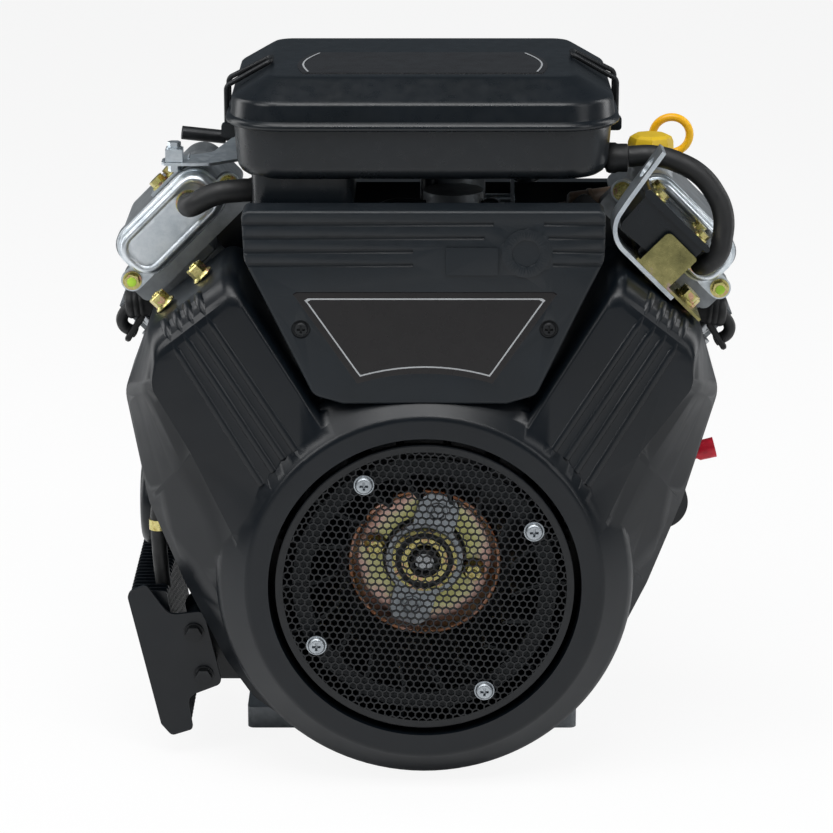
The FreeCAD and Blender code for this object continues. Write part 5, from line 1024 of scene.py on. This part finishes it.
class ENGINE_OT_valley(bpy.types.Operator):
    """Add what shows in the gap under the air cleaner: an air-guiding black sheet that also fills the gap
    with painted shade, governor linkage and fuel filter
    """

    bl_idname = "engine.valley"
    bl_label = "Valley pieces"

    def execute(self, context):
        # an air-guiding sheet that is also painted shade: a dark fill for the gap under the air cleaner
        formed("air_guide", "powder_coated_steel", "engine", self.guide)
        formed("governor_linkage", "powder_coated_steel", "engine", self.linkage, 40.0)
        formed("vent_fitting", "extruded_rubber", "engine",
               lambda b: lathe(b, mm(*VENT_FITTING), (1, 0, 0), VENT_FITTING_PROFILE, 32), 40.0)
        formed("filler_cap_faceted", "yellow_polyamide", "filler_cap", self.cap, 20.0,
               ["oil_filler_cap"])
        formed("terminal_sleeve", "red_vinyl", "engine", self.sleeve, 40.0, ["terminal_boot"])
        formed("lead_connector", "white_nylon", "engine", self.connector, 30.0)
        formed("oil_line", "extruded_rubber", "engine",
               lambda b: tube(b, [mm(*p) for p in OIL_LINE], OIL_LINE_R), 40.0)
        formed("oil_line_clamp", "yellow_chromate", "engine",
               lambda b: lathe(b, mm(*OIL_CLAMP), (0, 0.02, 1), OIL_CLAMP_PROFILE, 32), 30.0)
        formed("fuel_filter", "smoked_nylon", "engine", self.filter, 40.0)
        return {"FINISHED"}

    def guide(self, built):
        """The upright black sheet between the cylinders, with its top edge folded forward: it steers the
        cooling air, and it is also a dark fill that paints shade into the gap under the air cleaner.
        """
        outline = [(-152, 243), (-62, 152), (62, 152), (152, 243)]
        upright(built, outline, (-50.0, -48.4))
        flap = [(-152, -62), (-152, -50), (152, -50), (152, -62)]
        level_plate(built, flap, (242.0, 243.6))
        # a black plate at each cylinder's side, part of the same dark fill that paints shade into the gap
        baffle_and_shade_plate = rounded_rectangle((50, 222), (104, 262), 6.0, 4)
        for side in SIDES:
            skin(built, [[bank_point(side, t, y, along) for t, along in baffle_and_shade_plate] for y in (-49.6, -48.4)])

    def linkage(self, built):
        """Governor lever with its round end, the post it turns on and the spring's stop."""
        lathe(built, mm(3, -150, 200), (0, 0, 1), [(5.5, 0), (5.5, 70), (4.4, 71)], 24)
        outline = rounded_rectangle((10, 247.5), (50, 254.0), 3.2, 6)
        upright(built, outline, (-178.0, -176.6, -174.0))
        lathe(built, mm(46, -174, 250), (0, -1, 0), [(7.2, 0), (7.6, 0.8), (7.6, 5.2), (6.8, 6.2), (3.2, 6.4),
                                                                (3.0, 4.0)], 28)
        lathe(built, mm(-36, -170, 244), (0, -1, 0), [(6.0, 0), (6.0, 8), (5.0, 9)], 24)
        rod = [(-36, -176, 250), (-20, -178, 256), (6, -178, 254), (20, -178, 252)]
        tube(built, [mm(*p) for p in rod], 1.6, 10)

    def cap(self, built):
        """The filler cap: round skirt and flange, and a facetted grip that narrows to its top."""
        low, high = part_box("oil_filler_cap")
        middle = Vector(((low.x + high.x) / 2, (low.y + high.y) / 2, low.z))
        lathe(built, middle, (0, 0, 1), [
            (11.9, 0), (11.9, 14), (17.4, 14.2), (18.0, 15.0), (18.0, 17.4), (17.2, 18.4)], 40)
        lathe(built, middle, (0.0001, 0, 1), [(16.4, 18), (16.0, 26), (14.6, 29.4), (11.5, 31)], 8)

    def sleeve(self, built):
        """The red sleeve on the solenoid's terminal, with its open end outwards, and its lead."""
        low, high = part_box("terminal_boot")
        root = Vector((low.x + 18 * MM, (low.y + high.y) / 2, (low.z + high.z) / 2))
        tip = mm(*TERMINAL_TIP)
        reach = (tip - root).length / MM
        lathe(built, root, tip - root, [
            (5.0, 0), (5.6, 3), (5.6, reach * 0.6), (7.4, reach * 0.66), (7.6, reach), (6.4, reach),
            (6.0, reach - 4), (1.0, reach - 5)], 28)

    def connector(self, built):
        """White blade connector on the solenoid's second lead."""
        outline = rounded_rectangle((181.5, -64.5), (190.5, -55.5), 1.6, 4)
        level_plate(built, outline, (-14.0, 2.0))
        lathe(built, mm(186, -60, 1), (-0.1, 0, 1), [(2.6, 0), (2.6, 8), (1.6, 9), (1.6, 24)], 16)

    def filter(self, built):
        """Inline fuel filter: a capsule with a nipple at each end."""
        lathe(built, mm(100, -150, 246), (1, 0.1, 0.12), [
            (2.8, -9), (2.8, 0), (7.6, 1.4), (9.2, 3.4), (9.2, 15), (9.9, 15.6), (9.9, 18.4), (9.2, 19),
            (9.2, 32), (7.6, 34), (2.8, 35.4), (2.8, 44)], 32)


# ---------------------------------------------------------------- stage
CAMERA_PLACE = (-0.00568, -2.3709, 0.7513)
CAMERA_TILT = math.radians(90 - 16.55)
CAMERA_LENS = 139.8
FAR = 30.0                    # half the floor's side, in metres
# name, place, target, width and height in metres, power in watts
LAMPS = [
    ("overhead", (-0.2, -0.7, 2.2), (0, -0.2, 0.1), 1.8, 1.2, 30),
    ("strip", (0.1, -1.35, 1.75), (0, -0.2, 0.2), 1.7, 0.1, 12),
    ("key", (-1.7, -1.3, 1.5), (0, -0.2, 0.05), 0.9, 1.2, 15),
    ("fill", (1.7, -1.5, 1.0), (0, -0.2, 0.05), 0.7, 1.6, 8),
    ("rim_left", (-1.6, 0.5, 0.7), (0, -0.1, 0.1), 0.6, 1.8, 11),
    ("rim_right", (1.6, 0.5, 0.7), (0, -0.1, 0.1), 0.6, 1.8, 11),
]


def lamp(name, place, target, width, height, watts):
    """A soft rectangular lamp that looks at a point."""
    data = bpy.data.lights.new(name, "AREA")
    data.shape = "RECTANGLE"
    data.size = width
    data.size_y = height
    data.energy = watts
    item = linked(name, data)
    item.location = place
    item.rotation_euler = (Vector(target) - Vector(place)).to_track_quat("-Z", "Y").to_euler()


class ENGINE_OT_stage(bpy.types.Operator):
    """Add the floor, the light and the camera"""

    bl_idname = "engine.stage"
    bl_label = "Studio"

    def execute(self, context):
        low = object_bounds()[0]
        floor_mesh = bpy.data.meshes.new("floor")
        level = low.z - 0.0005
        corners = [(x, y, level) for x, y in ((-FAR, -FAR), (FAR, -FAR), (FAR, FAR), (-FAR, FAR))]
        floor_mesh.from_pydata(corners, [], [(0, 1, 2, 3)])
        floor = linked("floor", floor_mesh)
        floor_mesh.materials.append(white_surface("studio_floor"))
        floor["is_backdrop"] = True
        world = bpy.data.worlds.new("studio")
        context.scene.world = world
        world.use_nodes = True
        tree = world.node_tree
        tree.nodes.clear()
        path = add(tree, "ShaderNodeLightPath")
        seen = math_node(tree, "MAXIMUM", path.outputs["Is Camera Ray"], path.outputs["Is Transmission Ray"])
        room = add(tree, "ShaderNodeBackground", {"Color": linear("#d3dfea"), "Strength": 0.13})
        white = add(tree, "ShaderNodeBackground", {"Color": linear("#ffffff"), "Strength": 1.0})
        both = add(tree, "ShaderNodeMixShader", {0: seen, 1: room.outputs[0], 2: white.outputs[0]})
        add(tree, "ShaderNodeOutputWorld", {"Surface": both.outputs[0]})
        for settings in LAMPS:
            lamp(*settings)
        lens = bpy.data.cameras.new("camera")
        lens.lens = CAMERA_LENS
        lens.sensor_width = 36.0
        lens.clip_end = 100.0
        camera = linked("camera", lens)
        camera.location = CAMERA_PLACE
        camera.rotation_euler = (CAMERA_TILT, 0, 0)
        context.scene.camera = camera
        context.scene.view_settings.view_transform = "Standard"
        return {"FINISHED"}


def white_surface(name):
    """A matt white sweep that shows white and still takes the object's shadow."""
    material, tree, shader, _ = blank_material(name)
    shader.inputs["Roughness"].default_value = 0.9
    shader.inputs["Base Color"].default_value = linear("#f2f2f2")
    path = add(tree, "ShaderNodeLightPath")
    share = math_node(tree, "MULTIPLY", path.outputs["Is Camera Ray"], 0.9)
    glow = add(tree, "ShaderNodeEmission", {"Color": linear("#ffffff"), "Strength": 1.0})
    both = add(tree, "ShaderNodeMixShader", {0: share, 1: shader.outputs[0], 2: glow.outputs[0]})
    output = next(n for n in tree.nodes if n.bl_idname == "ShaderNodeOutputMaterial")
    tree.links.new(both.outputs[0], output.inputs["Surface"])
    return material


class ENGINE_PT_panel(bpy.types.Panel):
    """Lists the engine's pieces in the sidebar"""

    bl_idname = "ENGINE_PT_panel"
    bl_label = "Engine"
    bl_space_type = "VIEW_3D"
    bl_region_type = "UI"
    bl_category = "Engine"

    def draw(self, context):
        for operator in OPERATORS:
            self.layout.operator(operator.bl_idname)
        for label in EngineSizes.__annotations__:
            self.layout.prop(context.scene.engine_sizes, label)


OPERATORS = (
    ENGINE_OT_nodes,
    ENGINE_OT_screen,
    ENGINE_OT_cleaner,
    ENGINE_OT_housing,
    ENGINE_OT_heads,
    ENGINE_OT_screws,
    ENGINE_OT_cup,
    ENGINE_OT_valley,
    ENGINE_OT_stage,
)
CLASSES = (EngineSizes, *OPERATORS, ENGINE_PT_panel)


def register():
    for kind in CLASSES:
        bpy.utils.register_class(kind)
    bpy.types.Scene.engine_sizes = PointerProperty(type=EngineSizes)


def unregister():
    del bpy.types.Scene.engine_sizes
    for kind in reversed(CLASSES):
        bpy.utils.unregister_class(kind)


def main():
    register()
    bpy.ops.engine.nodes()
    bpy.ops.engine.screen()
    bpy.ops.engine.cleaner()
    bpy.ops.engine.housing()
    bpy.ops.engine.heads()
    bpy.ops.engine.screws()
    bpy.ops.engine.cup()
    bpy.ops.engine.valley()
    bpy.ops.engine.stage()


if __name__ == "__main__":
    main()
